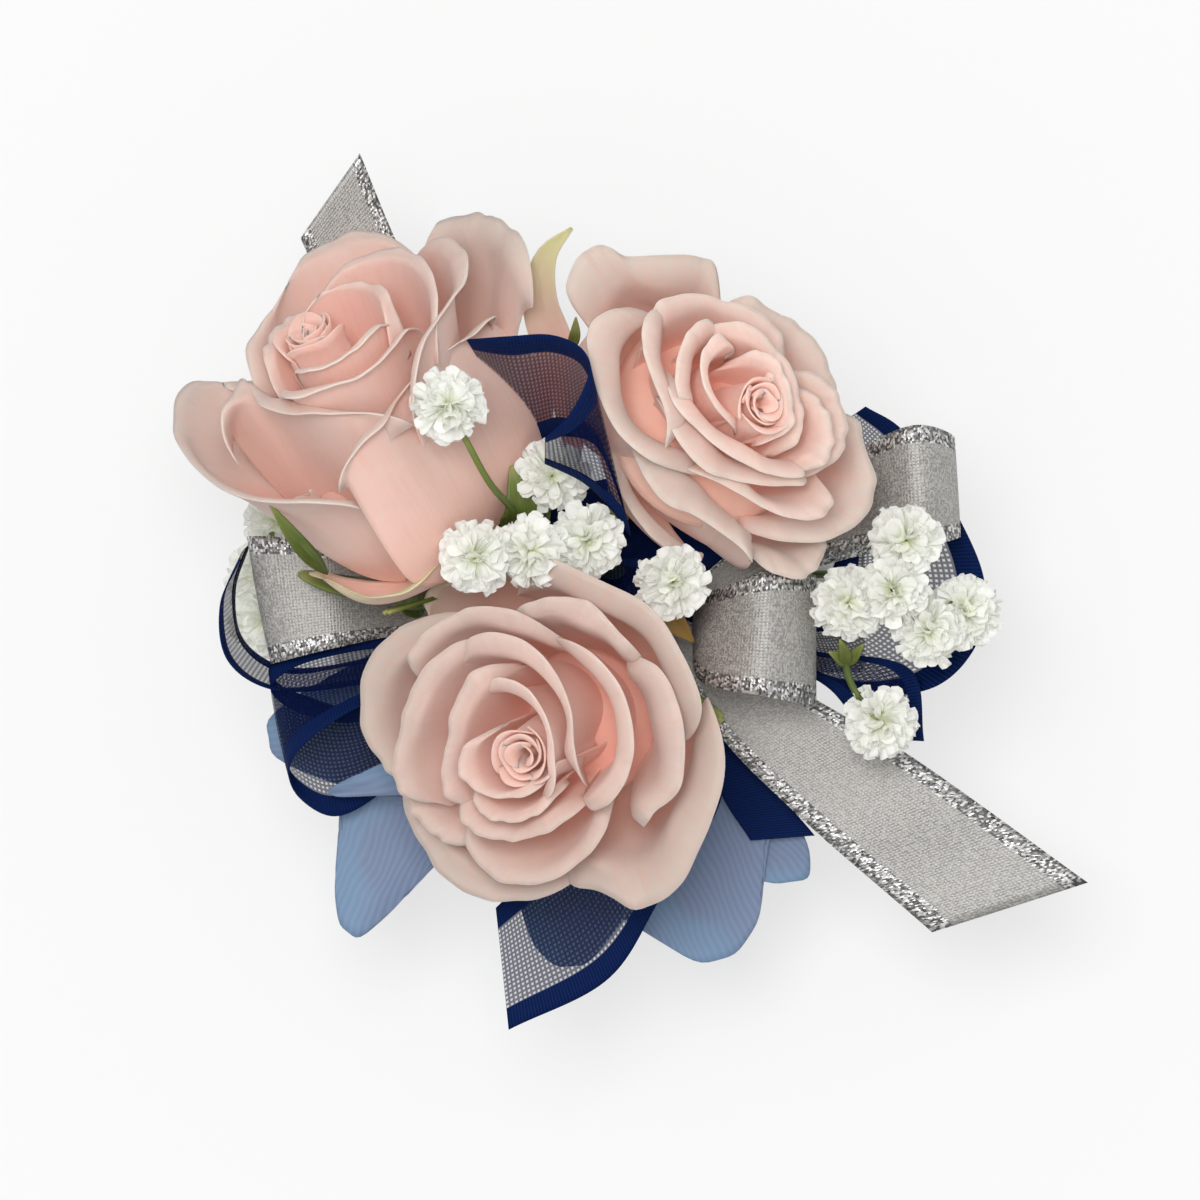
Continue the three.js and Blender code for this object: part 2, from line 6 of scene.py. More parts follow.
import bpy
import numpy as np
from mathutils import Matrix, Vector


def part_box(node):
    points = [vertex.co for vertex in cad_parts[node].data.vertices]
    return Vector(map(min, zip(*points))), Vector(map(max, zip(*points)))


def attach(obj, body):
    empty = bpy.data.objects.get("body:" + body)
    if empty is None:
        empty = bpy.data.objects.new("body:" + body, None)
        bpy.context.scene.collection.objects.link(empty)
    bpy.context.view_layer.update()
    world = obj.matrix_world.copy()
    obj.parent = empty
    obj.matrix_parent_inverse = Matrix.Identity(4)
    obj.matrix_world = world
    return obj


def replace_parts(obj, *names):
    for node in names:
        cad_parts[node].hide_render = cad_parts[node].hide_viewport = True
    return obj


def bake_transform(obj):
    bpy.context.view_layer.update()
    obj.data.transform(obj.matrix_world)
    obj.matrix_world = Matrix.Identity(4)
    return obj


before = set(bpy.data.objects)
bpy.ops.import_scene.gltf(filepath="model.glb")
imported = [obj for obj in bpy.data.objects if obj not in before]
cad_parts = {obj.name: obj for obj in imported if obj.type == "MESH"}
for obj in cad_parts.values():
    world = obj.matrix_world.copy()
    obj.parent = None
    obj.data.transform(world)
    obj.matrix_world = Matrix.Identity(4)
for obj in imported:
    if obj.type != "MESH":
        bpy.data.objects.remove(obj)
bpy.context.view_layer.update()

# %% [markdown]
# ## Where things lie
# The spray was laid out on a photograph that looks straight down on it. One helper turns a pixel of that
# photograph and a height above the taped stems into millimetres, and meshes are turned to metres at the end.

# %% Layout
MM = 0.001
MM_PER_PIXEL = 0.128
PHOTO_CENTRE_X = 600
PHOTO_CENTRE_Y = 580
PHOTO_SIZE = 1200


def box_of(node):
    """The lowest and highest corner of a measured node, in millimetres."""
    low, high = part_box(node)
    return np.array(low) / MM, np.array(high) / MM


TAPE_LOW, TAPE_HIGH = box_of("stem_wrap")
SPRAY_HEIGHT = TAPE_HIGH[2]
TAPE_MIDDLE = (TAPE_LOW[2] + TAPE_HIGH[2]) / 2


def at(x, y, height):
    """Pixels across and down become millimetres right and up the picture; height counts from the tape."""
    return np.array([
        (x - PHOTO_CENTRE_X) * MM_PER_PIXEL,
        (PHOTO_CENTRE_Y - y) * MM_PER_PIXEL,
        SPRAY_HEIGHT + height,
    ])


print(f"the spray starts {SPRAY_HEIGHT:.1f} mm above the table")

# %% [markdown]
# ## Surfaces from grids
# A petal, a ribbon or a stem is a grid of points: rows run one way and columns the other. The faces of such
# a grid follow from its size alone, so one helper makes them, and another puts the arrays into a mesh.

# %% Grid helpers
def grid_faces(rows, columns, closed=False, looped=False):
    """Four-cornered faces of a grid numbered row by row.

    closed joins the last column to the first, and looped joins the last row to the first.
    """
    down = rows if looped else rows - 1
    across = columns if closed else columns - 1
    row, column = np.meshgrid(np.arange(down), np.arange(across), indexing="ij")
    below = (row + 1) % rows * columns
    beside = (column + 1) % columns
    corners = [row * columns + column, row * columns + beside, below + beside, below + column]
    return np.stack(corners, axis=-1).reshape(-1, 4)


def make_piece(name, points, faces, uv, material, marks=None):
    """A mesh object from millimetre points, faces and one UV pair per point; marks are named values."""
    mesh = bpy.data.meshes.new(name)
    mesh.from_pydata(points * MM, [], faces)
    layer = mesh.uv_layers.new(name="UVMap")
    layer.data.foreach_set("uv", uv[faces.ravel()].astype(np.float32).ravel())
    for mark, value in (marks or {}).items():
        attribute = mesh.attributes.new(mark, "FLOAT", "POINT")
        attribute.data.foreach_set("value", np.broadcast_to(value, len(points)).astype(np.float32))
    mesh.shade_smooth()
    mesh.materials.append(material)
    piece = bpy.data.objects.new(name, mesh)
    bpy.context.scene.collection.objects.link(piece)
    return piece


def shares(rows, columns):
    """Two grids: the side share, -1 to 1 across the columns, and the share along, 0 to 1 down the rows."""
    return np.meshgrid(np.linspace(-1, 1, columns), np.linspace(0, 1, rows))


def leaf_uv(side, along):
    """One UV pair per point of such a grid, both from 0 to 1."""
    return np.stack([(side + 1) / 2, along], axis=-1).reshape(-1, 2)


def joined(parts):
    """Several (points, faces, uv) parts as one: the face numbers of each move past the points before it."""
    starts = np.cumsum([0] + [len(points) for points, _, _ in parts[:-1]])
    points = np.concatenate([part[0] for part in parts])
    faces = np.concatenate([part[1] + start for part, start in zip(parts, starts)])
    uv = np.concatenate([part[2] for part in parts])
    return points, faces, uv


def thicken(piece, millimetres):
    """Give a sheet its real thickness, half to each side."""
    solidify = piece.modifiers.new("thickness", "SOLIDIFY")
    solidify.thickness = millimetres * MM
    solidify.offset = 0
    return piece


def unit(vector):
    """The same direction with length one."""
    vector = np.asarray(vector, float)
    return vector / np.linalg.norm(vector, axis=-1, keepdims=True)


def smooth_path(knots, count):
    """A centripetal Catmull-Rom curve: cubic spans whose time is the square root of their length.

    The slope at a knot is the step before plus the step after, less the step across both, each per its time.
    """
    knots = np.asarray(knots, float)
    ends = np.concatenate([2 * knots[:1] - knots[1:2], knots, 2 * knots[-1:] - knots[-2:-1]])
    steps = np.diff(ends, axis=0)
    times = np.sqrt(np.linalg.norm(steps, axis=1, keepdims=True))
    slopes = steps / times
    across = (steps[:-1] + steps[1:]) / (times[:-1] + times[1:])
    slopes = slopes[:-1] + slopes[1:] - across
    place = np.linspace(0, len(knots) - 1, count)
    span = np.minimum(place.astype(int), len(knots) - 2)
    u = (place - span)[:, None]
    leaving = slopes[span] * times[span + 1]
    arriving = slopes[span + 1] * times[span + 1]
    return (
        knots[span] * (1 - 3 * u**2 + 2 * u**3) + knots[span + 1] * (3 * u**2 - 2 * u**3)
        + leaving * (u - 2 * u**2 + u**3) + arriving * (u**3 - u**2)
    )


def tube(path, radius, sides=10):
    """Circles of the given radius round a path, each square to it; radius may change along the path."""
    path = np.asarray(path, float)
    forward = unit(np.gradient(path, axis=0))
    helper = np.where(np.abs(forward[:, 2:]) > 0.9, [[1.0, 0, 0]], [[0, 0, 1.0]])
    right = unit(np.cross(forward, helper))
    up = np.cross(right, forward)
    turn = np.linspace(0, 2 * np.pi, sides, endpoint=False)
    radius = np.broadcast_to(radius, len(path))[:, None, None]
    ring = right[:, None] * np.cos(turn)[None, :, None] + up[:, None] * np.sin(turn)[None, :, None]
    points = path[:, None] + radius * ring
    along = np.linspace(0, 1, len(path))[:, None].repeat(sides, axis=1)
    across = (turn / (2 * np.pi))[None].repeat(len(path), axis=0)
    faces = grid_faces(len(path), sides, closed=True)[:, ::-1]
    return points.reshape(-1, 3), faces, np.stack([across, along], axis=-1).reshape(-1, 2)


print("grid helpers are ready")

# %% [markdown]
# ## Finishes
# A material is a small graph of nodes. Three helpers keep the graphs readable: one places a node and wires
# its inputs by name, one does arithmetic and one mixes colours. Colours are written as they look on screen
# and turned to the linear values that the renderer wants.

# %% Material helpers
def rgb(code):
    """A screen colour such as #8197C9 as linear red, green, blue and alpha."""
    screen = np.array([int(code[k:k + 2], 16) for k in (1, 3, 5)]) / 255
    linear = np.where(screen <= 0.04045, screen / 12.92, ((screen + 0.055) / 1.055) ** 2.4)
    return (*linear, 1.0)


def wire(tree, socket, value):
    """Link a socket to another node's output, or set its own value."""
    if isinstance(value, bpy.types.NodeSocket):
        tree.links.new(value, socket)
    else:
        socket.default_value = value


def add_node(tree, kind, settings=None, **inputs):
    """Place a node; inputs are named after its sockets, with _ for a space."""
    made = tree.nodes.new(kind)
    for name, value in (settings or {}).items():
        setattr(made, name, value)
    for name, value in inputs.items():
        wire(tree, made.inputs[name.replace("_", " ")], value)
    return made


def calc(tree, operation, first, second=0.0, third=0.0):
    """One step of arithmetic on two values, or on three where a product is added to."""
    made = add_node(tree, "ShaderNodeMath", {"operation": operation})
    for socket, value in zip(made.inputs, (first, second, third)):
        wire(tree, socket, value)
    return made.outputs[0]


def mix(tree, share, first, second):
    """Two colours mixed by a share."""
    made = add_node(tree, "ShaderNodeMix", {"data_type": "RGBA"})
    wire(tree, made.inputs[0], share)
    wire(tree, made.inputs[6], first)
    wire(tree, made.inputs[7], second)
    return made.outputs[2]


def tinted(tree, share, colour, code, most):
    """A colour taken towards another one where share is high, and by no more than most."""
    return mix(tree, share, colour, mix(tree, most, colour, rgb(code)))


def ridges(tree, place, pitch):
    """Rounded ridges, one for each pitch: the height of a sine without its sign."""
    return calc(tree, "ABSOLUTE", calc(tree, "SINE", calc(tree, "MULTIPLY", place, np.pi / pitch)))


def ramp(tree, share, stops):
    """Colours at given places between 0 and 1, blended in between."""
    made = add_node(tree, "ShaderNodeValToRGB", Fac=share)
    elements = made.color_ramp.elements
    while len(elements) < len(stops):
        elements.new(0.5)
    for element, (place, colour) in zip(elements, stops):
        element.position = place
        element.color = rgb(colour)
    return made.outputs["Color"]


def rise(tree, value, low, high):
    """A share that goes smoothly from 0 at low to 1 at high."""
    made = add_node(tree, "ShaderNodeMapRange", {"interpolation_type": "SMOOTHSTEP"}, Value=value)
    made.inputs["From Min"].default_value = low
    made.inputs["From Max"].default_value = high
    return made.outputs["Result"]


def new_material(name):
    """An empty material: its node tree and its Principled shader."""
    material = bpy.data.materials.new(name)
    material.use_nodes = True
    tree = material.node_tree
    return material, tree, tree.nodes["Principled BSDF"]


def set_plain(shader, **values):
    """Numbers and colours that are the same all over, on the shader's sockets, with _ for a space."""
    for name, value in values.items():
        shader.inputs[name.replace("_", " ")].default_value = value


def add_relief(tree, shader, height, strength, distance):
    """Let a height raise the surface, as far as distance in metres."""
    bump = add_node(tree, "ShaderNodeBump", Height=height, Strength=strength, Distance=distance)
    wire(tree, shader.inputs["Normal"], bump.outputs["Normal"])


def new_group(name, inputs, output):
    """An empty group of nodes on numbers: the group, its inputs by name and its one output."""
    group = bpy.data.node_groups.new(name, "ShaderNodeTree")
    for label in inputs:
        group.interface.new_socket(label, in_out="INPUT", socket_type="NodeSocketFloat")
    group.interface.new_socket(output, in_out="OUTPUT", socket_type="NodeSocketFloat")
    inside = group.nodes.new("NodeGroupInput").outputs
    outside = group.nodes.new("NodeGroupOutput").inputs
    return group, inside, outside[output]


def uv_parts(tree):
    """The piece's own UV map, and its two numbers."""
    uv = add_node(tree, "ShaderNodeUVMap").outputs["UV"]
    parts = add_node(tree, "ShaderNodeSeparateXYZ", Vector=uv)
    return uv, parts.outputs["X"], parts.outputs["Y"]


def stretched(tree, vector, x, y, z=1.0):
    """Coordinates stretched per axis before they reach a texture."""
    made = add_node(tree, "ShaderNodeMapping", Vector=vector)
    made.inputs["Scale"].default_value = (x, y, z)
    return made.outputs["Vector"]


print("material helpers are ready")

# %% [markdown]
# ## Veins
# Rose petals, sepals and the silk petals all carry fine streaks that run from root to tip. Streaks are noise
# that is stretched along the petal, so one node group serves them all. It gives a value round one half.

# %% Vein group
def make_veins():
    """Noise on the UV map, pressed narrow across the petal and long from root to tip."""
    group, inside, outside = new_group("veins", ("Across", "Along", "Shift"), "Streak")
    _, u, v = uv_parts(group)
    place = add_node(
        group, "ShaderNodeCombineXYZ",
        X=calc(group, "MULTIPLY", u, inside["Across"]),
        Y=calc(group, "MULTIPLY", v, inside["Along"]), Z=inside["Shift"],
    )
    noise = add_node(group, "ShaderNodeTexNoise", Vector=place.outputs[0], Scale=1.0, Detail=3.0)
    group.links.new(noise.outputs["Fac"], outside)
    return group


VEINS = make_veins()


def veins(tree, across, along, shift=0.0):
    """Place the vein group with its own counts across and along."""
    made = add_node(tree, "ShaderNodeGroup", {"node_tree": VEINS}, Across=across, Along=along, Shift=shift)
    return made.outputs["Streak"]


print("vein group is ready")

# %% [markdown]
# ## Rose petal finish
# A blush petal is deep coral at its root, where light bounces between the petals, and pales to a creamy lip.
# Outer petals are paler and greyer than the heart. Each petal stores its age, 0 in the heart and 1 outside.
# Petals are so thin that light passes from one to the next, and a faint glow at the root stands for it.

# %% Rose material
YOUNG_PETAL = [(0, "#FFB7A2"), (0.4, "#FFC6B6"), (0.7, "#F6CEC2"), (0.9, "#ECCDC2"), (1, "#F2DCD2")]
OLD_PETAL = [(0, "#FAD5C5"), (0.25, "#F3D0C3"), (0.5, "#EACFC5"), (0.9, "#D5C3B9"), (1, "#DED1C7")]
PASSED_LIGHT = [(0, "#FFC4B4"), (0.45, "#D9A593"), (0.85, "#4A342E"), (1, "#000000")]


def marked(tree, name):
    """A value that the mesh stores for its points."""
    return add_node(tree, "ShaderNodeAttribute", {"attribute_name": name}).outputs["Fac"]


def rose_finish():
    """Two root-to-lip ramps mixed by age, veined, greener at old tips, greyed per rose as painted shade."""
    material, tree, shader = new_material("rose_petal")
    age, green, shade = (marked(tree, name) for name in ("age", "green", "shade"))
    _, _, v = uv_parts(tree)
    colour = mix(tree, age, ramp(tree, v, YOUNG_PETAL), ramp(tree, v, OLD_PETAL))
    streak = veins(tree, across=46.0, along=5.0, shift=calc(tree, "MULTIPLY", age, 31.0))
    colour = tinted(tree, rise(tree, streak, 0.42, 0.75), colour, "#EDB3A2", 0.2)
    place = add_node(tree, "ShaderNodeTexCoord").outputs["Object"]
    bloom = add_node(tree, "ShaderNodeTexNoise", Scale=260.0, Detail=2.0, Vector=place).outputs["Fac"]
    colour = tinted(tree, rise(tree, bloom, 0.5, 0.8), colour, "#F3DCD2", 0.25)
    green_tip = calc(tree, "MULTIPLY", green, rise(tree, v, 0.35, 0.95))
    colour = mix(tree, green_tip, colour, rgb("#D3D096"))
    # Painted shade: the whole rose is greyed towards taupe by its shade value.
    colour = mix(tree, calc(tree, "MULTIPLY", shade, 0.3), colour, rgb("#A8958C"))
    wire(tree, shader.inputs["Base Color"], colour)
    fade = calc(tree, "MULTIPLY", age, 0.35)
    wire(tree, shader.inputs["Emission Color"], mix(tree, fade, ramp(tree, v, PASSED_LIGHT), rgb("#000000")))
    add_relief(tree, shader, streak, strength=0.12, distance=0.0004)
    set_plain(
        shader, Emission_Strength=0.08, Roughness=0.62, Specular_IOR_Level=0.3, Sheen_Weight=0.12,
        Subsurface_Weight=1.0, Subsurface_Radius=(1.0, 0.8, 0.72), Subsurface_Scale=0.0004,
    )
    return material


ROSE = rose_finish()
print("rose finish:", ROSE.name)

# %% [markdown]
# ## Roses
# A rose is a spiral of petals round one axis. What makes a real one is that no two rims run alike, so each
# petal is given by the run of its own rim, as points of the photograph, and by how high that rim stands on
# its rose. The wall below is a curve from the root to the crest, and the lip rolls outward over the crest.

# %% Rose axes
PETALS = 7
HEART_LEVELS = 8
PETAL_ROWS = 32
PETAL_COLUMNS = 45
PETAL_THICK = 0.22

# Each rose's shade greys the whole rose as painted shade: most on the front rose, none on the right one.
ROSES = {
    "rose_left": dict(
        base=at(428, 549, 15), axis=(-0.42, 0.76, 0.5), across=(0.875, 0.484, 0), height=38, seed=100,
        belly=(8.5, 18.2), lip=(0.98, 0.8), flare=9, flare_power=3, long_sepal=168, stem_to=(-15, 0),
        shade=0.5, brim=1.0, dome=0.5, nest=0.58,
    ),
    "rose_right": dict(
        base=at(674, 432, 10), axis=(0.38, 0.12, 0.917), across=(1, 0, -0.4), height=32, seed=200,
        belly=(7.5, 18), lip=(0.98, 0.58), flare=4.6, flare_power=2, long_sepal=300, stem_to=(4, 2),
        shade=0.0, brim=1.5, dome=0.76, nest=0.58,
    ),
    "rose_front": dict(
        base=at(607, 711, 13), axis=(-0.36, -0.19, 0.913), across=(1, 0, 0.39), height=31, seed=300,
        belly=(8, 20), lip=(0.98, 0.58), flare=5, flare_power=2, long_sepal=290, stem_to=(-2, -3),
        shade=0.8, brim=1.45, dome=0.48, nest=0.46,
    ),
}

for rose in ROSES.values():
    rose["axis"] = unit(rose["axis"])
    rose["away"] = unit(np.cross(rose["axis"], rose["across"]))
    rose["across"] = np.cross(rose["away"], rose["axis"])
print("roses:", ", ".join(ROSES))

# %% [markdown]
# ### Rims
# Four rings of petals are told apart by how high the rim stands, how broad the lip is, how full the wall is
# and how old the petal looks. A petal may differ from its ring in any of these. Seven petals of each rose
# stand for measured ones and name their number.

# %% Rims
RINGS = {
    "outer": dict(top=0.6, lip=5.0, belly=0.6, age=0.95),
    "second": dict(top=0.76, lip=4.0, belly=0.2, age=0.6),
    "third": dict(top=0.87, lip=3.2, belly=0.2, age=0.35),
    "inner": dict(top=0.95, lip=2.0, belly=0.25, age=0.12),
}

RIMS = {
    "rose_left": [
        ("outer", [(236, 374), (186, 379), (171, 425), (196, 468), (240, 496), (300, 500), (346, 490)],
         dict(node=6, top=0.66, belly=0.05)),
        ("outer", [(418, 236), (440, 216), (480, 213), (500, 220), (522, 238), (534, 264)],
         dict(node=7, top=0.84, belly=0.1, lip=9)),
        ("outer", [(296, 574), (330, 582), (370, 596), (410, 590), (438, 565), (458, 535), (478, 512)],
         dict(top=0.16, lip=1.5, green=0.7)),
        ("outer", [(286, 505), (300, 496), (314, 487), (328, 476)], dict(top=0.42, belly=0.9, lip=1.5)),
        ("outer", [(486, 302), (494, 310), (486, 322), (468, 340), (448, 352), (418, 378), (400, 398),
                   (385, 428), (355, 448), (322, 470)], dict(node=5, top=0.76, belly=1.4, lip=3, age=0.6)),
        ("second", [(208, 436), (222, 408), (244, 378), (260, 405), (288, 417), (330, 414), (404, 393)],
         dict(node=3, top=0.84, belly=1.0)),
        ("second", [(236, 374), (246, 338), (276, 304), (302, 262), (332, 240), (372, 228), (425, 234)],
         dict(node=4, top=0.93)),
        ("second", [(396, 232), (440, 235), (466, 252), (468, 276), (448, 306), (425, 342), (402, 386)],
         dict(top=0.92)),
        ("third", [(300, 300), (335, 275), (385, 252), (420, 258), (436, 285), (428, 320)],
         dict(node=1, top=0.97)),
        ("third", [(262, 374), (268, 345), (290, 318), (325, 298)], dict(node=2, top=0.95)),
        ("third", [(266, 370), (290, 400), (330, 391), (375, 368), (405, 335), (422, 303)], dict(top=0.93)),
        ("inner", [(283, 358), (304, 375), (345, 362), (380, 334), (390, 304)], dict(top=0.98)),
        ("inner", [(292, 345), (310, 306), (350, 285), (385, 290), (398, 312)], dict(top=0.99)),
    ],
    "rose_right": [
        ("outer", [(592, 328), (566, 290), (582, 254), (600, 246), (625, 256), (690, 255), (714, 260),
                   (730, 296)], dict(node=7, top=0.42, belly=0.6, lip=8)),
        ("outer", [(592, 380), (604, 440), (624, 500), (660, 545), (705, 566)],
         dict(top=0.34, belly=1.1, lip=2)),
        ("outer", [(634, 452), (664, 492), (710, 520), (762, 552)], dict(top=0.5, belly=1.6, lip=2)),
        ("outer", [(742, 546), (770, 572), (805, 578), (825, 556), (832, 532)], dict(top=0.4)),
        ("outer", [(748, 536), (790, 543), (835, 538), (866, 515), (877, 485), (868, 450), (860, 420),
                   (842, 404)], dict(node=6, top=0.5)),
        ("outer", [(722, 302), (745, 296), (775, 312), (802, 326), (825, 355), (837, 388), (847, 414)],
         dict(top=0.6)),
        ("outer", [(630, 440), (641, 473), (662, 502), (700, 519), (740, 547), (765, 574)],
         dict(top=0.6, belly=1.5)),
        ("outer", [(655, 304), (610, 311), (588, 332), (590, 365), (602, 402), (622, 438), (655, 463),
                   (708, 479)], dict(node=5, top=0.72, belly=1.5, age=0.7)),
        ("second", [(650, 332), (658, 304), (690, 295), (730, 303), (768, 320), (784, 345), (792, 374)],
         dict(node=4)),
        ("second", [(790, 366), (820, 376), (840, 402), (846, 432), (838, 458), (812, 482)],
         dict(top=0.78)),
        ("second", [(688, 468), (735, 493), (775, 514), (815, 520), (834, 503), (826, 480)],
         dict(top=0.74)),
        ("second", [(660, 392), (676, 440), (702, 470), (745, 483), (800, 486), (820, 476)],
         dict(node=3, top=0.8)),
        ("second", [(668, 300), (645, 320), (642, 348), (650, 378), (664, 412), (671, 452)],
         dict(node=2, top=0.82)),
        ("third", [(795, 380), (820, 402), (832, 430), (828, 460), (806, 476)], dict()),
        ("third", [(668, 368), (673, 405), (695, 430), (730, 458), (765, 474), (800, 478), (822, 466)],
         dict()),
        ("third", [(726, 317), (696, 325), (680, 350), (675, 382), (686, 412)], dict(top=0.9)),
        ("third", [(712, 320), (745, 325), (785, 362), (800, 405), (802, 435), (790, 458)],
         dict(node=1, top=0.92)),
        ("inner", [(738, 352), (718, 336), (703, 350), (700, 380), (716, 410), (752, 434)], dict()),
        ("inner", [(738, 356), (762, 352), (780, 368), (790, 400), (790, 430), (768, 446)], dict(top=0.97)),
    ],
    "rose_front": [
        ("outer", [(424, 622), (428, 590), (470, 577), (515, 571)], dict(top=0.45, lip=1.2, green=0.25)),
        ("outer", [(392, 748), (402, 800), (425, 850), (465, 893), (520, 902), (578, 891)],
         dict(node=6, top=0.5)),
        ("outer", [(552, 893), (600, 892), (640, 908), (678, 886), (705, 835), (724, 770), (713, 698)],
         dict(top=0.5, lip=7.5)),
        ("outer", [(503, 582), (540, 558), (590, 575), (650, 607), (680, 650), (701, 705), (690, 745)],
         dict(node=5)),
        ("outer", [(475, 606), (415, 620), (372, 655), (360, 722), (380, 765), (398, 792)],
         dict(node=7, top=0.58)),
        ("second", [(396, 772), (412, 812), (440, 838), (475, 852)], dict(top=0.64)),
        ("second", [(630, 652), (658, 668), (678, 705), (684, 750), (676, 792), (650, 815), (640, 840)],
         dict(top=0.7, lip=6.5)),
        ("second", [(456, 812), (466, 850), (495, 878), (535, 884), (580, 862), (605, 830), (612, 798)],
         dict(top=0.68)),
        ("second", [(498, 614), (545, 598), (590, 601), (615, 628), (638, 655)], dict(node=4)),
        ("second", [(402, 684), (410, 650), (440, 622), (480, 606), (520, 612), (562, 641)],
         dict(top=0.76)),
        ("second", [(482, 632), (445, 648), (415, 684), (405, 715), (394, 760), (396, 790), (418, 815)],
         dict(top=0.8)),
        ("third", [(538, 632), (590, 652), (622, 690), (634, 738), (628, 775), (605, 806), (576, 815)],
         dict(node=3, top=0.8)),
        ("third", [(448, 798), (468, 828), (505, 840), (545, 832), (582, 811)], dict(top=0.84)),
        ("third", [(507, 663), (478, 668), (457, 700), (447, 745), (441, 788), (456, 817)],
         dict(node=2, top=0.88)),
        ("third", [(450, 657), (475, 634), (522, 638), (552, 664), (570, 705), (574, 750), (578, 800)],
         dict(node=1, top=0.88)),
        ("inner", [(464, 783), (480, 812), (510, 821), (540, 812), (558, 793)], dict(top=0.92)),
        ("inner", [(468, 692), (500, 678), (528, 688), (548, 718), (556, 755), (552, 792), (528, 810)],
         dict()),
        ("inner", [(492, 727), (466, 744), (458, 766), (468, 784), (500, 797), (532, 792), (550, 776)],
         dict(top=0.98)),
    ],
}
print({name: len(rims) for name, rims in RIMS.items()}, "petals outside the hearts")


# %% Petal shape
def on_rose(rose, radius, angle, height):
    """A point at a radius, angle and height in the rose's own axes."""
    return (
        rose["base"] + height[..., None] * rose["axis"]
        + (radius * np.cos(angle))[..., None] * rose["across"]
        + (radius * np.sin(angle))[..., None] * rose["away"]
    )


def rim_on_rose(rose, pixels, top):
    """Angle and radius of a rim round its rose.

    The rim's picture coordinates are two sums of the rose's two side axes, at the height of the rim, so two
    equations give the two unknown distances.
    """
    corners = np.array([at(x, y, 0) for x, y in pixels])
    path = smooth_path(corners, PETAL_COLUMNS)[:, :2]
    middle = rose["base"] + top * rose["height"] * rose["axis"]
    axes = np.stack([rose["across"][:2], rose["away"][:2]], axis=1)
    u, v = np.linalg.solve(axes, (path - middle[:2]).T)
    return np.unwrap(np.arctan2(v, u)), np.hypot(u, v)


def bezier(first, second, third, fourth, t):
    """A cubic curve that starts towards its second point and arrives from its third."""
    return (
        first * (1 - t) ** 3 + 3 * second * t * (1 - t) ** 2 + 3 * third * t**2 * (1 - t) + fourth * t**3
    )


def calm(values, degree):
    """The smooth trend of values along a rim: the polynomial of that degree that fits them best."""
    place = np.linspace(-1, 1, len(values))
    return np.polyval(np.polyfit(place, values, degree), place)


CREST = 0.72
LIP_LOSS = 0.8
RIM_DIP = 0.2
RIM_TUCK = 0.1
RIM_WAVE = 0.25
CREST_INSET = 0.62
LIP_TURN = 0.42
ROOT_SHARE = 0.28


def petal_wall(crest_radius, crest_height, belly, share):
    """The curve from root to crest, and the point that it leans towards before it arrives there."""
    root = 1 + ROOT_SHARE * crest_radius
    swell = crest_radius - root
    lean_radius = crest_radius - (0.4 - 0.5 * belly) * swell
    lean_height = (0.74 - 0.1 * belly) * crest_height
    radius = bezier(root, root + (0.35 + 0.6 * belly) * swell, lean_radius, crest_radius, share)
    height = bezier(np.full_like(share, -0.4), 0.08 * crest_height, lean_height, crest_height, share)
    return radius, height, lean_radius, lean_height


def petal(rose, pixels, top, lip, belly, seed):
    """A petal from its rim: one curve up the wall from root to crest, one over the crest to the rim.

    belly 0 leans the wall out like a bowl and 1 makes it stand full. Towards its two sides the petal is
    narrower at the root, and its rim dips, tucks in and loses its lip. The wall follows the smooth
    trend of the rim, and the rim's own turns grow in with the cube of the share along.
    """
    chance = np.random.default_rng(seed)
    angle_rim, radius_rim = rim_on_rose(rose, pixels, top)
    side, along = shares(PETAL_ROWS, PETAL_COLUMNS)
    lip = lip * (1 - LIP_LOSS * side**6)
    phases = chance.uniform(0, 2 * np.pi, 3)
    waves = sum(np.sin((2.3 + 2.9 * k) * side + phases[k]) / (1 + k) for k in range(3))
    rim_height = top * rose["height"] * (1 - RIM_DIP * side**6) + RIM_WAVE * waves
    own = along**3
    rim_radius = (calm(radius_rim, 2) * (1 - own) + radius_rim * own) * (1 - RIM_TUCK * side**8)
    crest_radius = np.maximum(rim_radius - CREST_INSET * lip, 0.6 * rim_radius)
    crest_height = rim_height - (0.45 - 0.15 * waves) * lip
    wall = np.clip(along / CREST, 0, 1)
    over = np.clip((along - CREST) / (1 - CREST), 0, 1)
    radius, height, lean_radius, lean_height = petal_wall(crest_radius, crest_height, belly, wall)
    step = np.stack([crest_radius - lean_radius, crest_height - lean_height], axis=-1)
    onward = unit(step) * LIP_TURN * lip[..., None]
    crinkle = (np.sin(15 * side + phases[0]) + 0.6 * np.sin(26 * side + phases[1])) * over**2
    turned = rim_radius - LIP_TURN * lip
    lip_radius = bezier(crest_radius, crest_radius + onward[..., 0], turned, rim_radius, over)
    lip_radius = lip_radius + 0.08 * crinkle
    lip_height = bezier(crest_height, crest_height + onward[..., 1], rim_height, rim_height, over)
    lip_height = lip_height + 0.14 * crinkle
    radius = np.where(along > CREST, lip_radius, radius)
    height = np.where(along > CREST, lip_height, height)
    angle = calm(angle_rim, 1) * (1 - own) + angle_rim * own
    middle = angle_rim.mean()
    spread = 0.5 + 0.5 * np.sin(np.pi / 2 * np.clip(along / 0.35, 0, 1))
    angle = middle + (angle - middle) * spread
    points = on_rose(rose, radius, angle, height).reshape(-1, 3)
    return points, grid_faces(PETAL_ROWS, PETAL_COLUMNS), leaf_uv(side, along)


print("petals have", PETAL_ROWS, "by", PETAL_COLUMNS, "points")

# %% [markdown]
# ### Hearts
# The very middle of a rose is a roll of small petals, each wrapped further out than the one before at the
# golden angle. They are all one piece. A surface of revolution that shrinks step by step carries them.

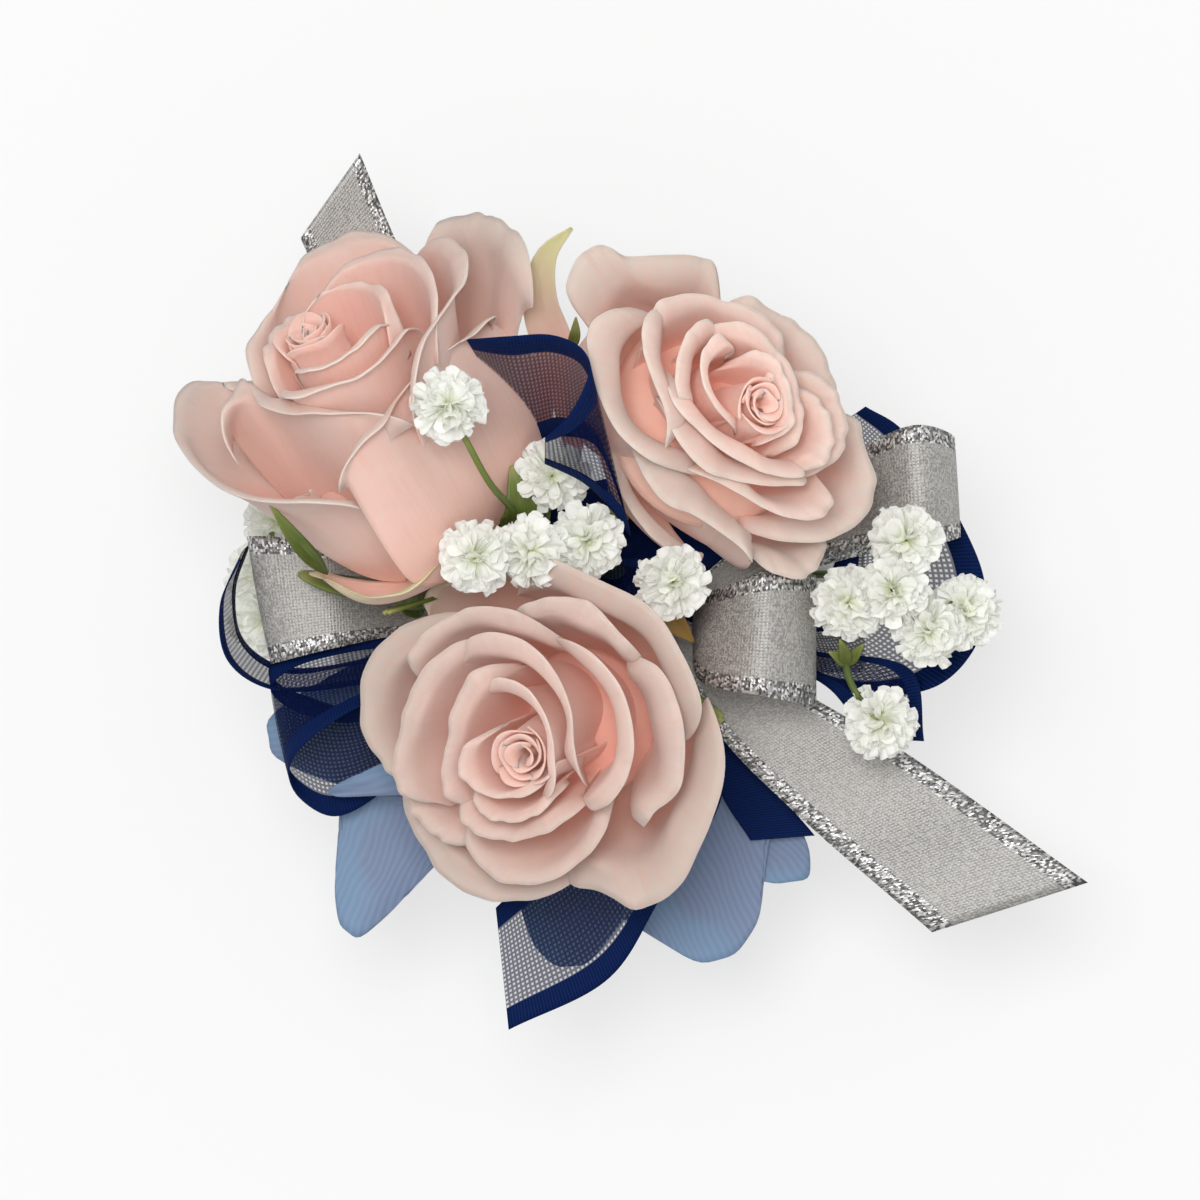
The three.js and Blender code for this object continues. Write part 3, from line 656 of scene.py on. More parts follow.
# %% Heart shape
HEART_TURNS = 8
HEART_INNERMOST = -7.0
HEART_OUTERMOST = -3.4
HEART_ROWS = 24
HEART_COLUMNS = 33
HEART_CURL_START = 0.93
GOLDEN_ANGLE = 137.5
NEST_ROWS = 24
NEST_COLUMNS = 40


def petal_profile(rose, level, x):
    """Radius and height at share x from root to lip of the turned surface that a level lies on.

    The radius swells as a quarter sine up to the belly and then holds, plus a curl that grows as x to the
    fourth. The height rises evenly. Levels above 0 go outward, levels below 0 shrink into the heart.
    """
    outer = np.clip(level, 0, None)
    share = outer / PETALS
    inner = 1 + np.clip(level, None, 0) / HEART_LEVELS
    root = (3 + 0.5 * outer) * inner
    belly_low, belly_high = rose["belly"]
    belly = (belly_low + (belly_high - belly_low) * share**0.85) * inner
    lip_low, lip_high = rose["lip"]
    lip = rose["height"] * (lip_low + (lip_high - lip_low) * share)
    swell = np.sin(np.pi / 2 * np.clip(x / 0.45, None, 1))
    radius = root + (belly - root) * swell + rose["flare"] * share ** rose["flare_power"] * x**4
    height = -0.35 * outer + (lip + 0.35 * outer) * x
    return radius, height


def heart_petal(rose, level, facing, half, seed):
    """A small petal that closes towards the middle, with a rim that turns out a little and waves."""
    side, along = shares(HEART_ROWS, HEART_COLUMNS)
    phases = np.random.default_rng(seed).uniform(0, 2 * np.pi, 2)
    waves = np.sin(2.1 * side + phases[0]) + 0.5 * np.sin(5.3 * side + phases[1])
    x = along * (1 - 0.04 * side**4 + 0.01 * waves)
    radius, height = petal_profile(rose, level + 0.5 * side, x)
    curl = np.clip(along - HEART_CURL_START, 0, None) / (1 - HEART_CURL_START)
    radius = radius * (1 - 0.3 * along**3) + (0.9 + 0.3 * waves) * curl**1.5
    height = height - 0.35 * curl**2
    points = on_rose(rose, radius, np.radians(facing + half * side), height).reshape(-1, 3)
    return points, grid_faces(HEART_ROWS, HEART_COLUMNS), leaf_uv(side, 0.35 + 0.35 * along)


def nest(rose):
    """A dome under the rims that closes the view down to the green cup.

    Its height falls with the square of the radius share, and a bell curve lifts its middle into the heart.
    """
    outward = np.linspace(0.01, 1, NEST_ROWS)
    around = np.linspace(0, 2 * np.pi, NEST_COLUMNS, endpoint=False)
    share, turn = np.meshgrid(outward, around, indexing="ij")
    radius = rose["dome"] * rose["belly"][1] * share
    height = rose["height"] * (rose["nest"] - 0.22 * share**2 + 0.26 * np.exp(-((share / 0.2) ** 2)))
    points = on_rose(rose, radius, turn, height).reshape(-1, 3)
    uv = np.stack([turn / (2 * np.pi), 0.15 + 0.3 * share], axis=-1).reshape(-1, 2)
    return points, grid_faces(NEST_ROWS, NEST_COLUMNS, closed=True), uv


def heart_roll(rose):
    """Small petals from the middle outward, over the dome; the inner ones reach further round."""
    parts = [nest(rose)]
    for number, level in enumerate(np.linspace(HEART_INNERMOST, HEART_OUTERMOST, HEART_TURNS)):
        half = np.interp(level, [HEART_INNERMOST, HEART_OUTERMOST], [120, 70])
        parts.append(heart_petal(rose, level, 30 + GOLDEN_ANGLE * number, half, rose["seed"] + number))
    return joined(parts)


print("hearts have", HEART_TURNS, "turns")

# %% Make the roses
def rose_piece(name, shape, rose, age, green=0.0):
    """A petal piece with its age, its green tinge and the painted shade of its rose."""
    piece = make_piece(name, *shape, ROSE, dict(age=age, green=green, shade=rose["shade"]))
    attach(piece, "spray")
    return thicken(piece, PETAL_THICK)


for name, rose in ROSES.items():
    heart = rose_piece(f"{name}_heart_roll", heart_roll(rose), rose, age=0.0)
    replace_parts(heart, f"{name}_heart")
    for number, (ring, pixels, own) in enumerate(RIMS[name], 1):
        look = {"node": 0, "green": 0.0, **RINGS[ring], **own}
        lip = look["lip"] * rose["brim"]
        shape = petal(rose, pixels, look["top"], lip, look["belly"], rose["seed"] + 20 + number)
        piece = rose_piece(f"{name}_blush_{number}", shape, rose, look["age"], look["green"])
        if look["node"]:
            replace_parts(piece, f"{name}_petal_{look['node']}")
    print(name, "has", len(RIMS[name]), "petals round its heart")

# %% [markdown]
# ## Green parts
# Under every rose a calyx cup holds the petals, five sepals run up from it and a stem goes down into the
# tape. The leaf finish mixes two greens by streaks, with paler, dry-looking tips.

# %% Leaf material
def leaf_finish():
    """Green that pales from root to tip, with streaks that also make a fine relief."""
    material, tree, shader = new_material("leaf")
    _, _, v = uv_parts(tree)
    streak = veins(tree, across=16.0, along=4.0)
    green = ramp(tree, v, [(0, "#3A4A16"), (0.5, "#4A5C1E"), (0.85, "#6F7C36"), (1, "#A5A566")])
    green = mix(tree, calc(tree, "MULTIPLY", rise(tree, streak, 0.4, 0.7), 0.6), green, rgb("#6C7F35"))
    wire(tree, shader.inputs["Base Color"], mix(tree, marked(tree, "dry"), green, rgb("#8A6A2C")))
    add_relief(tree, shader, streak, strength=0.25, distance=0.0005)
    set_plain(shader, Roughness=0.5)
    return material


LEAF = leaf_finish()
print("leaf finish:", LEAF.name)

# %% Calyx, sepals and stem
SEPALS = 5
SEPAL_ROWS = 24
SEPAL_COLUMNS = 9
SEPAL_LEVEL = PETALS + 1.6
SEPAL_ROOT = -0.03
SEPAL_THICK = 0.5
CUP_COLUMNS = 28
STEM_RADIUS = 1.5
STEM_DEPTH_IN_TAPE = 1.6


def sepal(rose, number):
    """A narrow leaf on the surface outside the last petal: its width falls as a cosine to the tip."""
    turn = 2 * np.pi * number / SEPALS
    reach = 0.2 * (0.6 + 0.4 * np.cos(turn))
    side, along = shares(SEPAL_ROWS, SEPAL_COLUMNS)
    x = SEPAL_ROOT + (reach - SEPAL_ROOT) * along
    radius, height = petal_profile(rose, SEPAL_LEVEL, x)
    radius = radius + 1.4 * along**3 - 0.35 * (1 - side**2) * along
    width = np.radians(17) * (0.06 + 0.94 * np.cos(np.pi / 2 * along) ** 0.8)
    angle = np.radians(rose["long_sepal"]) + turn + width * side + 0.1 * np.sin(4 * along + number)
    points = on_rose(rose, radius, angle, height).reshape(-1, 3)
    return points, grid_faces(SEPAL_ROWS, SEPAL_COLUMNS), leaf_uv(side, along)


def calyx_cup(rose):
    """A turned cup: radius and height pairs carried round the rose's axis."""
    rim_radius, rim_height = petal_profile(rose, SEPAL_LEVEL, 0.0)
    outline = np.array([
        (0.05, -0.6), (3, -0.6), (rim_radius, rim_height - 0.55), (rim_radius, -3.9),
        (rim_radius * 0.9, -4.8), (3.4, -5.7), (2.1, -6.2), (1.6, -6.6),
    ])
    turn = np.linspace(0, 2 * np.pi, CUP_COLUMNS, endpoint=False)
    radius = np.repeat(outline[:, :1], CUP_COLUMNS, axis=1) * (1 + 0.03 * np.cos(SEPALS * turn))
    height = np.repeat(outline[:, 1:], CUP_COLUMNS, axis=1)
    turn = np.broadcast_to(turn, radius.shape)
    points = on_rose(rose, radius, turn, height).reshape(-1, 3)
    uv = np.stack([turn, np.full_like(radius, 0.2)], axis=-1).reshape(-1, 2)
    return points, grid_faces(*radius.shape, closed=True)[:, ::-1], uv


def stem(rose):
    """A round stem from inside the cup down to its socket in the tape."""
    top = rose["base"] - 4.5 * rose["axis"]
    below = rose["base"] - 6.9 * rose["axis"]
    end = np.array([*rose["stem_to"], SPRAY_HEIGHT - STEM_DEPTH_IN_TAPE])
    return tube(smooth_path([top, below, end], 20), STEM_RADIUS, 14)


for name, rose in ROSES.items():
    green = make_piece(f"{name}_calyx", *joined([calyx_cup(rose), stem(rose)]), LEAF)
    leaves = make_piece(f"{name}_sepals", *joined([sepal(rose, number) for number in range(SEPALS)]), LEAF)
    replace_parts(green, f"{name}_stem")
    thicken(leaves, SEPAL_THICK)
    for piece in (green, leaves):
        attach(piece, "spray")
print("calyxes, sepals and stems are in place")

# %% [markdown]
# ### Loose leaves
# A few narrow leaves show between the flowers: a long sepal that fell away from the left rose, a dark leaf
# below the navy loop, small green ends in two gaps, a dry golden end in the middle, three bud leaves on the
# low sprig, and a last green-tipped petal behind the left rose. Each is a blade along a curved line, given
# with its width, how dry it is from 0 to 1, and the body that it moves with.

# %% Loose leaves
BLADE_ROWS = 22
BLADE_COLUMNS = 9
BLADE_THICK = 0.3
BLADES = {
    "left_sepal": ([at(328, 574, 26), at(300, 543, 31.6), at(272, 505, 35)], 2.2, 0.0, "spray"),
    "dark_leaf": ([at(512, 540, 21), at(524, 512, 26), at(512, 466, 27)], 5.4, 0.0, "spray"),
    "gap_leaf": ([at(420, 616, 11), at(408, 602, 12), at(384, 592, 11)], 3.0, 0.0, "spray"),
    "back_sepal": ([at(570, 352, 26), at(575, 336, 28), at(576, 318, 28)], 1.4, 0.2, "spray"),
    "gold_leaf": ([at(648, 596, 17), at(668, 616, 19), at(694, 642, 17)], 3.6, 1.0, "spray"),
    "bud_leaf_left": ([at(848, 665, 14.4), at(841, 658, 15.4), at(829, 652, 16)], 1.7, 0.1, "low_sprig"),
    "bud_leaf_middle": ([at(848, 665, 14.4), at(845, 653, 16), at(840, 640, 17.5)], 1.6, 0.1, "low_sprig"),
    "bud_leaf_right": ([at(848, 665, 14.4), at(855, 655, 15.6), at(864, 644, 16.5)], 1.5, 0.1, "low_sprig"),
}


def blade(path, width):
    """A leaf folded along a curved line: its half-width is a sine that is fullest below the middle."""
    line = smooth_path(path, BLADE_ROWS)[:, None]
    side, along = shares(BLADE_ROWS, BLADE_COLUMNS)
    ahead = unit(np.gradient(line[:, 0], axis=0))
    sideways = unit(np.cross(ahead, [0, 0, 1.0]))[:, None]
    upwards = np.cross(sideways, ahead[:, None])
    half = width / 2 * (0.08 + 0.92 * np.sin(np.pi * along**0.75))
    fold = 0.35 * half * np.abs(side)
    points = line + (half * side)[..., None] * sideways + fold[..., None] * upwards
    return points.reshape(-1, 3), grid_faces(BLADE_ROWS, BLADE_COLUMNS), leaf_uv(side, along)


GUARD_PATH = [
    at(574, 470, 16), at(570, 405, 19), at(553, 345, 22),
    at(540, 300, 25), at(547, 256, 26), at(572, 229, 25),
]
GUARD_WIDTH = 5.2
guard = blade(GUARD_PATH, GUARD_WIDTH)
rose_piece("rose_left_guard_petal", guard, ROSES["rose_left"], age=0.9, green=0.9)
for name, (path, width, dry, body) in BLADES.items():
    piece = make_piece(name, *blade(path, width), LEAF, dict(dry=dry))
    thicken(piece, BLADE_THICK)
    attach(piece, body)
print(len(BLADES), "loose leaves")

# %% [markdown]
# ## Ribbon finishes
# Both ribbons have a woven selvedge along each side. The silver one is a fine metallic cloth with a
# glittering selvedge. The navy one is a sheer net between two satin bands. Their UV map is in millimetres,
# across and along the ribbon, so thread counts are real, and two node groups find the selvedge and threads.

# %% Selvedge and thread groups
RIBBON_WIDTH = 16.0
SILVER_SELVEDGE = 2.3
SILVER_PITCH = 0.42
NAVY_SELVEDGE = 2.8
NAVY_PITCH = 0.58
SATIN_PITCH = 0.38


def make_selvedge():
    """1 within Band millimetres of either edge of the ribbon and 0 between."""
    group, inside, outside = new_group("selvedge", ("Band",), "Mask")
    _, u, _ = uv_parts(group)
    inset = calc(group, "MINIMUM", u, calc(group, "SUBTRACT", RIBBON_WIDTH, u))
    past = calc(group, "SUBTRACT", inset, inside["Band"])
    group.links.new(rise(group, past, 0.12, -0.12), outside)
    return group


def make_threads():
    """1 on the threads of a square net of the given pitch in millimetres, falling to 0 in its holes."""
    group, inside, outside = new_group("threads", ("Pitch",), "Net")
    _, u, v = uv_parts(group)
    lines = []
    for place in (u, v):
        counted = calc(group, "DIVIDE", place, inside["Pitch"])
        lines.append(calc(group, "SUBTRACT", 1.0, ridges(group, counted, 1.0)))
    group.links.new(calc(group, "MAXIMUM", *lines), outside)
    return group


SELVEDGE = make_selvedge()
THREADS = make_threads()


def selvedge(tree, band):
    """Place the selvedge group."""
    return add_node(tree, "ShaderNodeGroup", {"node_tree": SELVEDGE}, Band=band).outputs["Mask"]


def threads(tree, pitch):
    """Place the thread group."""
    return add_node(tree, "ShaderNodeGroup", {"node_tree": THREADS}, Pitch=pitch).outputs["Net"]


print("ribbon groups are ready")

# %% Silver ribbon material
def flakes(tree, uv, across, along):
    """One random number for each glittering cell of the given size in millimetres, in loose rows."""
    place = stretched(tree, uv, 1 / across, 1 / along)
    cells = add_node(
        tree, "ShaderNodeTexVoronoi", {"voronoi_dimensions": "2D"}, Vector=place, Scale=1.0, Randomness=0.75,
    )
    return add_node(tree, "ShaderNodeSeparateColor", Color=cells.outputs["Color"]).outputs[0]


def silver_finish():
    """Fine metal cloth in the middle, coarse bright and dark stitches along the selvedge."""
    material, tree, shader = new_material("silver_ribbon")
    uv, _, _ = uv_parts(tree)
    edge = selvedge(tree, SILVER_SELVEDGE)
    net = threads(tree, SILVER_PITCH)
    fine = flakes(tree, uv, across=0.24, along=0.18)
    coarse = flakes(tree, uv, across=0.34, along=0.26)
    cloth = mix(tree, rise(tree, fine, 0.1, 0.95), rgb("#9C9A97"), rgb("#C6C4BF"))
    cloth = mix(tree, calc(tree, "MULTIPLY", net, 0.18), cloth, rgb("#6A6866"))
    stitches = ramp(tree, coarse, [(0, "#454545"), (0.4, "#868584"), (0.7, "#BFBEBC"), (1, "#FAFAF8")])
    wire(tree, shader.inputs["Base Color"], mix(tree, edge, cloth, stitches))
    wire(tree, shader.inputs["Metallic"], calc(tree, "MULTIPLY_ADD", edge, 0.25, 0.45))
    wire(tree, shader.inputs["Roughness"], calc(tree, "MULTIPLY_ADD", fine, 0.25, 0.38))
    relief = calc(tree, "MULTIPLY_ADD", net, 0.5, fine)
    add_relief(tree, shader, relief, strength=0.5, distance=0.00012)
    return material


SILVER = silver_finish()
print("silver finish:", SILVER.name)

# %% Navy ribbon material
def navy_finish():
    """Satin bands at the selvedge; between them a net whose holes let most of the light through."""
    material, tree, shader = new_material("navy_ribbon")
    _, _, v = uv_parts(tree)
    edge = selvedge(tree, NAVY_SELVEDGE)
    net = rise(tree, threads(tree, NAVY_PITCH), 0.15, 0.5)
    ribs = ridges(tree, v, SATIN_PITCH)
    satin = mix(tree, ribs, rgb("#051339"), rgb("#0D2456"))
    thread = mix(tree, net, rgb("#162352"), rgb("#081440"))
    wire(tree, shader.inputs["Base Color"], mix(tree, edge, thread, satin))
    cover = calc(tree, "MULTIPLY_ADD", net, 0.42, 0.14)
    wire(tree, shader.inputs["Alpha"], calc(tree, "MAXIMUM", cover, edge))
    relief = calc(tree, "MULTIPLY_ADD", ribs, edge, net)
    add_relief(tree, shader, relief, strength=0.4, distance=0.00012)
    set_plain(shader, Roughness=0.6, Specular_IOR_Level=0.05)
    return material


NAVY = navy_finish()
print("navy finish:", NAVY.name)

# %% [markdown]
# ## Ribbon loops and tails
# A ribbon is given by rungs, each a pair of points on its two edges. Smooth curves run along both edges, and
# every row of the grid crosses from one to the other with a small crown, because ribbon is never quite flat.
# One tail is folded lengthwise, so that only the share of its width that is satin shows.

# %% Ribbon shapes
KNOT_LOW, KNOT_HIGH = box_of("bow_knot")
KNOT_TOP = KNOT_HIGH[2] - SPRAY_HEIGHT
ROOT_GAP = 0.3


def beside_knot(degrees, height):
    """A root corner against the knot, by direction and height."""
    x, y = (KNOT_LOW + KNOT_HIGH)[:2] / 2
    radius = (KNOT_HIGH[0] - KNOT_LOW[0]) / 2 + ROOT_GAP
    turn = np.radians(degrees)
    return np.array([x + radius * np.cos(turn), y + radius * np.sin(turn), SPRAY_HEIGHT + height])



SILVER_RIBBONS = {
    "silver_tail_top": [
        (at(610, 566, 0.6), at(596, 586, 0.6)), (at(500, 440, 1), at(440, 482, 1)),
        (at(400, 250, 1), at(330, 305, 1)), (at(358, 150, 3), at(298, 235, 2)),
    ],
    "silver_loop_left": [
        (beside_knot(195, 5), beside_knot(222, 5)), (at(420, 580, 5), at(424, 632, 5)),
        (at(320, 542, 10), at(326, 650, 10)), (at(246, 536, 7), at(270, 664, 7)),
        (at(320, 550, 2), at(326, 644, 2)), (at(430, 606, 2), at(430, 636, 2)),
        (beside_knot(197, 3), beside_knot(222, 3)),
    ],
    "silver_loop_centre": [
        (at(698, 600, 10), at(694, 636, 10)), (at(716, 590, 16), at(700, 680, 15)),
        (at(770, 573, 20), at(762, 696, 19)), (at(816, 576, 13), at(816, 704, 13)),
        (at(780, 590, 7.5), at(780, 690, 8)), (at(698, 608, 7), at(694, 646, 7)),
    ],
    "silver_loop_right": [
        (beside_knot(27, 3), beside_knot(0, 3)), (at(850, 456, 6), at(850, 550, 5)),
        (at(918, 424, 10), at(926, 547, 9)), (at(956, 438, 6), at(962, 536, 5)),
        (at(900, 460, 2), at(900, 546, 2)), (at(760, 560, 2), at(770, 580, 2)),
    ],
    "silver_tail_long": [
        (beside_knot(-18, 3.5), beside_knot(-67, 3.5)), (at(800, 690, 3), at(720, 735, 3)),
        (at(905, 752, 3), at(790, 808, 3)), (at(1092, 885, 1), at(935, 935, 1)),
    ],
}

NAVY_RIBBONS = {
    "navy_loop_upper": [
        (at(468, 342, 37), at(500, 385, 25)), (at(510, 339, 39), at(535, 440, 20)),
        (at(552, 338, 41), at(561, 436, 24)), (at(580, 350, 43), at(596, 446, 27)),
        (at(590, 368, 44), at(630, 536, 27)), (at(583, 394, 45), at(615, 514, 30)),
        (at(566, 422, 45), at(585, 484, 33)), (at(546, 440, 44), at(545, 464, 36)),
    ],
    "navy_loop_far_left": [
        (at(238, 560, 10), at(246, 545, 1)), (at(219, 605, 11), at(232, 590, 1)),
        (at(226, 660, 10), at(240, 640, 1)), (at(272, 690, 8), at(284, 668, 0)),
        (at(430, 672, 1), at(430, 646, 0)), (at(566, 650, 1.6), at(566, 632, 1.4)),
    ],
    "navy_loop_left_low": [
        (at(540, 655, 3.4), at(540, 642, 3.2)), (at(470, 688, 5), at(470, 640, 4)),
        (at(368, 703, 13), at(352, 640, 6)), (at(308, 740, 13), at(290, 652, 6)),
        (at(288, 768, 10), at(267, 670, 6)), (at(297, 798, 6), at(276, 684, 5)),
        (at(332, 818, 3.5), at(305, 697, 4)), (at(380, 794, 2.5), at(352, 708, 3)),
        (at(470, 694, 2), at(470, 668, 2)), (at(540, 657, 2.5), at(540, 642, 2.3)),
    ],
    "navy_tail_bottom": [
        (at(640, 624, -0.3), at(664, 628, -0.3)), (at(658, 690, 0.5), at(692, 696, 0.5)),
        (at(650, 766, 3), at(724, 790, 3)), (at(600, 812, 5), at(660, 902, 5)),
        (at(555, 852, 6), at(610, 980, 5)), (at(495, 910, 5), at(508, 1033, 4)),
    ],
    "navy_tail_low_right": [
        (at(680, 600, -0.3), at(676, 616, -0.3)), (at(726, 690, -1), at(704, 706, -1)),
        (at(770, 780, -2), at(720, 790, -2)), (at(817, 838, -2.6), at(752, 843, -2.6)),
    ],
    "navy_loop_right": [
        (at(868, 405, 1), at(812, 440, -1)), (at(905, 428, -1), at(836, 500, -2)),
        (at(964, 520, -1), at(840, 550, -3)), (at(988, 588, 4), at(832, 578, -4)),
        (at(978, 646, 6), at(828, 594, -4)), (at(936, 688, 4), at(824, 606, -4)),
        (at(840, 690, 0), at(815, 620, -2)), (at(735, 622, -0.2), at(735, 596, 0.05)),
    ],
    "navy_tail_right": [
        (at(818, 652, -0.3), at(808, 674, 0.7)), (at(914, 672, 7), at(836, 694, 2.6)),
        (at(926, 742, 6), at(868, 738, 2.2)),
    ],
    "navy_bow_middle": [
        (at(598, 552, KNOT_TOP - 4.3), at(604, 596, KNOT_TOP - 4.3)),
        (at(612, 556, KNOT_TOP - 0.3), at(616, 604, KNOT_TOP - 0.3)),
        (at(650, 560, KNOT_TOP + 1.2), at(652, 612, KNOT_TOP + 1.2)),
        (at(682, 566, KNOT_TOP + 0.2), at(684, 616, KNOT_TOP + 0.2)),
        (at(692, 566, KNOT_TOP - 3.8), at(692, 594, KNOT_TOP - 3.8)),
    ],
}

TAIL_BODIES = {
    "silver_tail_long": "long_silver_tail",
    "silver_tail_top": "top_silver_tail",
    "navy_tail_bottom": "bottom_navy_tail",
}
FOLDED = {"navy_tail_low_right": 0.17}
print(len(SILVER_RIBBONS), "silver and", len(NAVY_RIBBONS), "navy ribbons")

# %% Weave the ribbons
RIBBON_COLUMNS = 17
ROWS_PER_SPAN = 16
SILVER_THICK = 0.3
NAVY_THICK = 0.2
LEAST_SIDE = 0.0101


def grid_normals(points):
    """Unit normals of a grid, from its steps along rows and columns."""
    return unit(np.cross(np.gradient(points, axis=1), np.gradient(points, axis=0)))


def sheet_size(points):
    """Width, length and area of a grid in metres: its widest row, its middle line and its faces."""
    step_across = points[:-1, 1:] - points[:-1, :-1]
    step_along = points[1:, :-1] - points[:-1, :-1]
    area = np.linalg.norm(np.cross(step_across, step_along), axis=-1).sum() * MM**2
    middle = points[:, points.shape[1] // 2]
    length = np.linalg.norm(np.diff(middle, axis=0), axis=1).sum() * MM
    width = np.linalg.norm(np.diff(points, axis=1), axis=2).sum(axis=1).max() * MM
    return width, length, area


def declare_cloth(points):
    """The cut size of a cloth piece, no smaller than the least that it takes; nothing is done with it."""
    width, length, area = sheet_size(points)
    width, length = max(width, LEAST_SIDE), max(length, LEAST_SIDE)


def ribbon(rungs, crown):
    """Rows between two smooth edges, bowed by crown times a parabola and a slow ripple along the ribbon."""
    rungs = np.array(rungs)
    rows = ROWS_PER_SPAN * (len(rungs) - 1) + 1
    share = np.linspace(0, 1, RIBBON_COLUMNS)
    first = smooth_path(rungs[:, 0], rows)[:, None]
    second = smooth_path(rungs[:, 1], rows)[:, None]
    points = first + (second - first) * share[None, :, None]
    middle = points[:, RIBBON_COLUMNS // 2]
    steps = np.linalg.norm(np.diff(middle, axis=0), axis=1)
    length = np.concatenate([[0], np.cumsum(steps)])
    bow = crown * (1 - (2 * share - 1) ** 2)[None] * np.sin(0.35 * length + 1.0)[:, None]
    points = points + bow[..., None] * grid_normals(points)
    uv = np.stack(np.broadcast_arrays(RIBBON_WIDTH * share[None], length[:, None]), axis=-1)
    return points, uv.reshape(-1, 2)


def weave(rows_of_rungs, material, crown, thick):
    """Make every ribbon of one colour."""
    for name, rungs in rows_of_rungs.items():
        points, uv = ribbon(rungs, crown)
        uv = uv * np.array([FOLDED.get(name, 1.0), 1.0])
        faces = grid_faces(*points.shape[:2])
        piece = make_piece(f"{name}_cloth", points.reshape(-1, 3), faces, uv, material)
        thicken(piece, thick)
        declare_cloth(points)
        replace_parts(piece, name)
        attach(piece, TAIL_BODIES.get(name, "spray"))


weave(SILVER_RIBBONS, SILVER, crown=0.25, thick=SILVER_THICK)
weave(NAVY_RIBBONS, NAVY, crown=0.3, thick=NAVY_THICK)
print("ribbons are woven")

# %% [markdown]
# ### Gathered ribbon and painted shade
# Under the bow a strip of the navy ribbon is gathered round the knot. A wavy disc of dark satin does for it:
# its height ripples round the knot. It also fills the middle of the spray as painted shade, which makes the
# gaps between the flowers dark. It is tilted to stay above the top tail and below the long one, which both
# need room to flex.

# %% Gathered ribbon and painted shade
SHADE_GATHERS_MIDDLE = at(612, 568, 2.9)
SHADE_GATHERS_REACH = 16
SHADE_GATHERS_ROWS = 12
SHADE_GATHERS_COLUMNS = 97
SHADE_GATHERS_HIGH_SIDE = np.radians(126)


def shade_gathers(middle, reach):
    """A disc whose height falls outward, and ripples and tilts with the angle, most of all at its rim."""
    outward = np.linspace(0.12, 1, SHADE_GATHERS_ROWS)
    around = np.linspace(0, 2 * np.pi, SHADE_GATHERS_COLUMNS)
    share, turn = np.meshgrid(outward, around, indexing="ij")
    ripple = 0.65 * np.sin(9 * turn) + 0.35 * np.sin(14 * turn + 1)
    tilt = 1.3 * np.cos(turn - SHADE_GATHERS_HIGH_SIDE)
    radius = reach * share * (1 + 0.06 * np.sin(5 * turn + 2) * share)
    height = 4 * (1 - share) + (ripple + tilt) * share
    offset = np.stack([radius * np.cos(turn), 0.75 * radius * np.sin(turn), height], axis=-1)
    uv = np.stack([0.9 + 0 * turn, 15 * turn], axis=-1).reshape(-1, 2)
    return middle + offset, uv


# Painted shade: the dark satin disc stands partly for gathered ribbon and partly for the shade in the gaps.
points, uv = shade_gathers(SHADE_GATHERS_MIDDLE, SHADE_GATHERS_REACH)
faces = grid_faces(SHADE_GATHERS_ROWS, SHADE_GATHERS_COLUMNS)
piece = make_piece("navy_shade_gathers_cloth", points.reshape(-1, 3), faces, uv, NAVY)
thicken(piece, NAVY_THICK)
declare_cloth(points)
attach(piece, "spray")
print("the gathers fill the middle")

# %% [markdown]
# ## Silk petals
# The blue petals under the front rose are cut from ribbed silk. Their ribs run from root to tip and the cut
# edge is a little frilled. The UV map is again in millimetres.

# %% Silk material
RIB_PITCH = 0.85


def silk_finish():
    """Fine ribs across the petal, and a slow drift between sky blue and periwinkle."""
    material, tree, shader = new_material("blue_silk")
    uv, u, _ = uv_parts(tree)
    flat = {"noise_dimensions": "2D"}
    bend = add_node(tree, "ShaderNodeTexNoise", flat, Vector=uv, Scale=0.12, Detail=1.0)
    place = calc(tree, "MULTIPLY_ADD", bend.outputs["Fac"], 2.2, u)
    ribs = calc(tree, "SINE", calc(tree, "MULTIPLY", place, 2 * np.pi / RIB_PITCH))
    ribs = rise(tree, ribs, -1.0, 1.0)
    drift = add_node(tree, "ShaderNodeTexNoise", flat, Vector=uv, Scale=0.06, Detail=2.0)
    colour = mix(tree, rise(tree, drift.outputs["Fac"], 0.4, 0.62), rgb("#70809F"), rgb("#6E8BAA"))
    colour = mix(tree, calc(tree, "MULTIPLY", ribs, 0.25), colour, rgb("#8C9DBB"))
    wire(tree, shader.inputs["Base Color"], colour)
    add_relief(tree, shader, ribs, strength=0.2, distance=0.0002)
    set_plain(shader, Roughness=0.6, Sheen_Weight=0.2)
    return material


SILK = silk_finish()
print("silk finish:", SILK.name)

# %% Silk petals
SILK_ROWS = 33
SILK_COLUMNS = 25
SILK_THICK = 0.25
SILK_SEED = 40
SILK_PETALS = {
    "silk_petal_left_upper": (at(618, 706, -0.6), at(262, 738, -0.6), 28),
    "silk_petal_left": (at(470, 650, -1.4), at(346, 938, -1.4), 20),
    "silk_petal_bottom": (at(606, 690, -2.2), at(562, 972, -2.2), 27),
    "silk_petal_right": (at(606, 690, -3), at(730, 962, -4), 34),
    "silk_petal_right_upper": (at(602, 700, -3.8), at(808, 880, -4.8), 22),
    "silk_petal_left_frill": (at(470, 760, 9), at(326, 794, 6), 5),
}


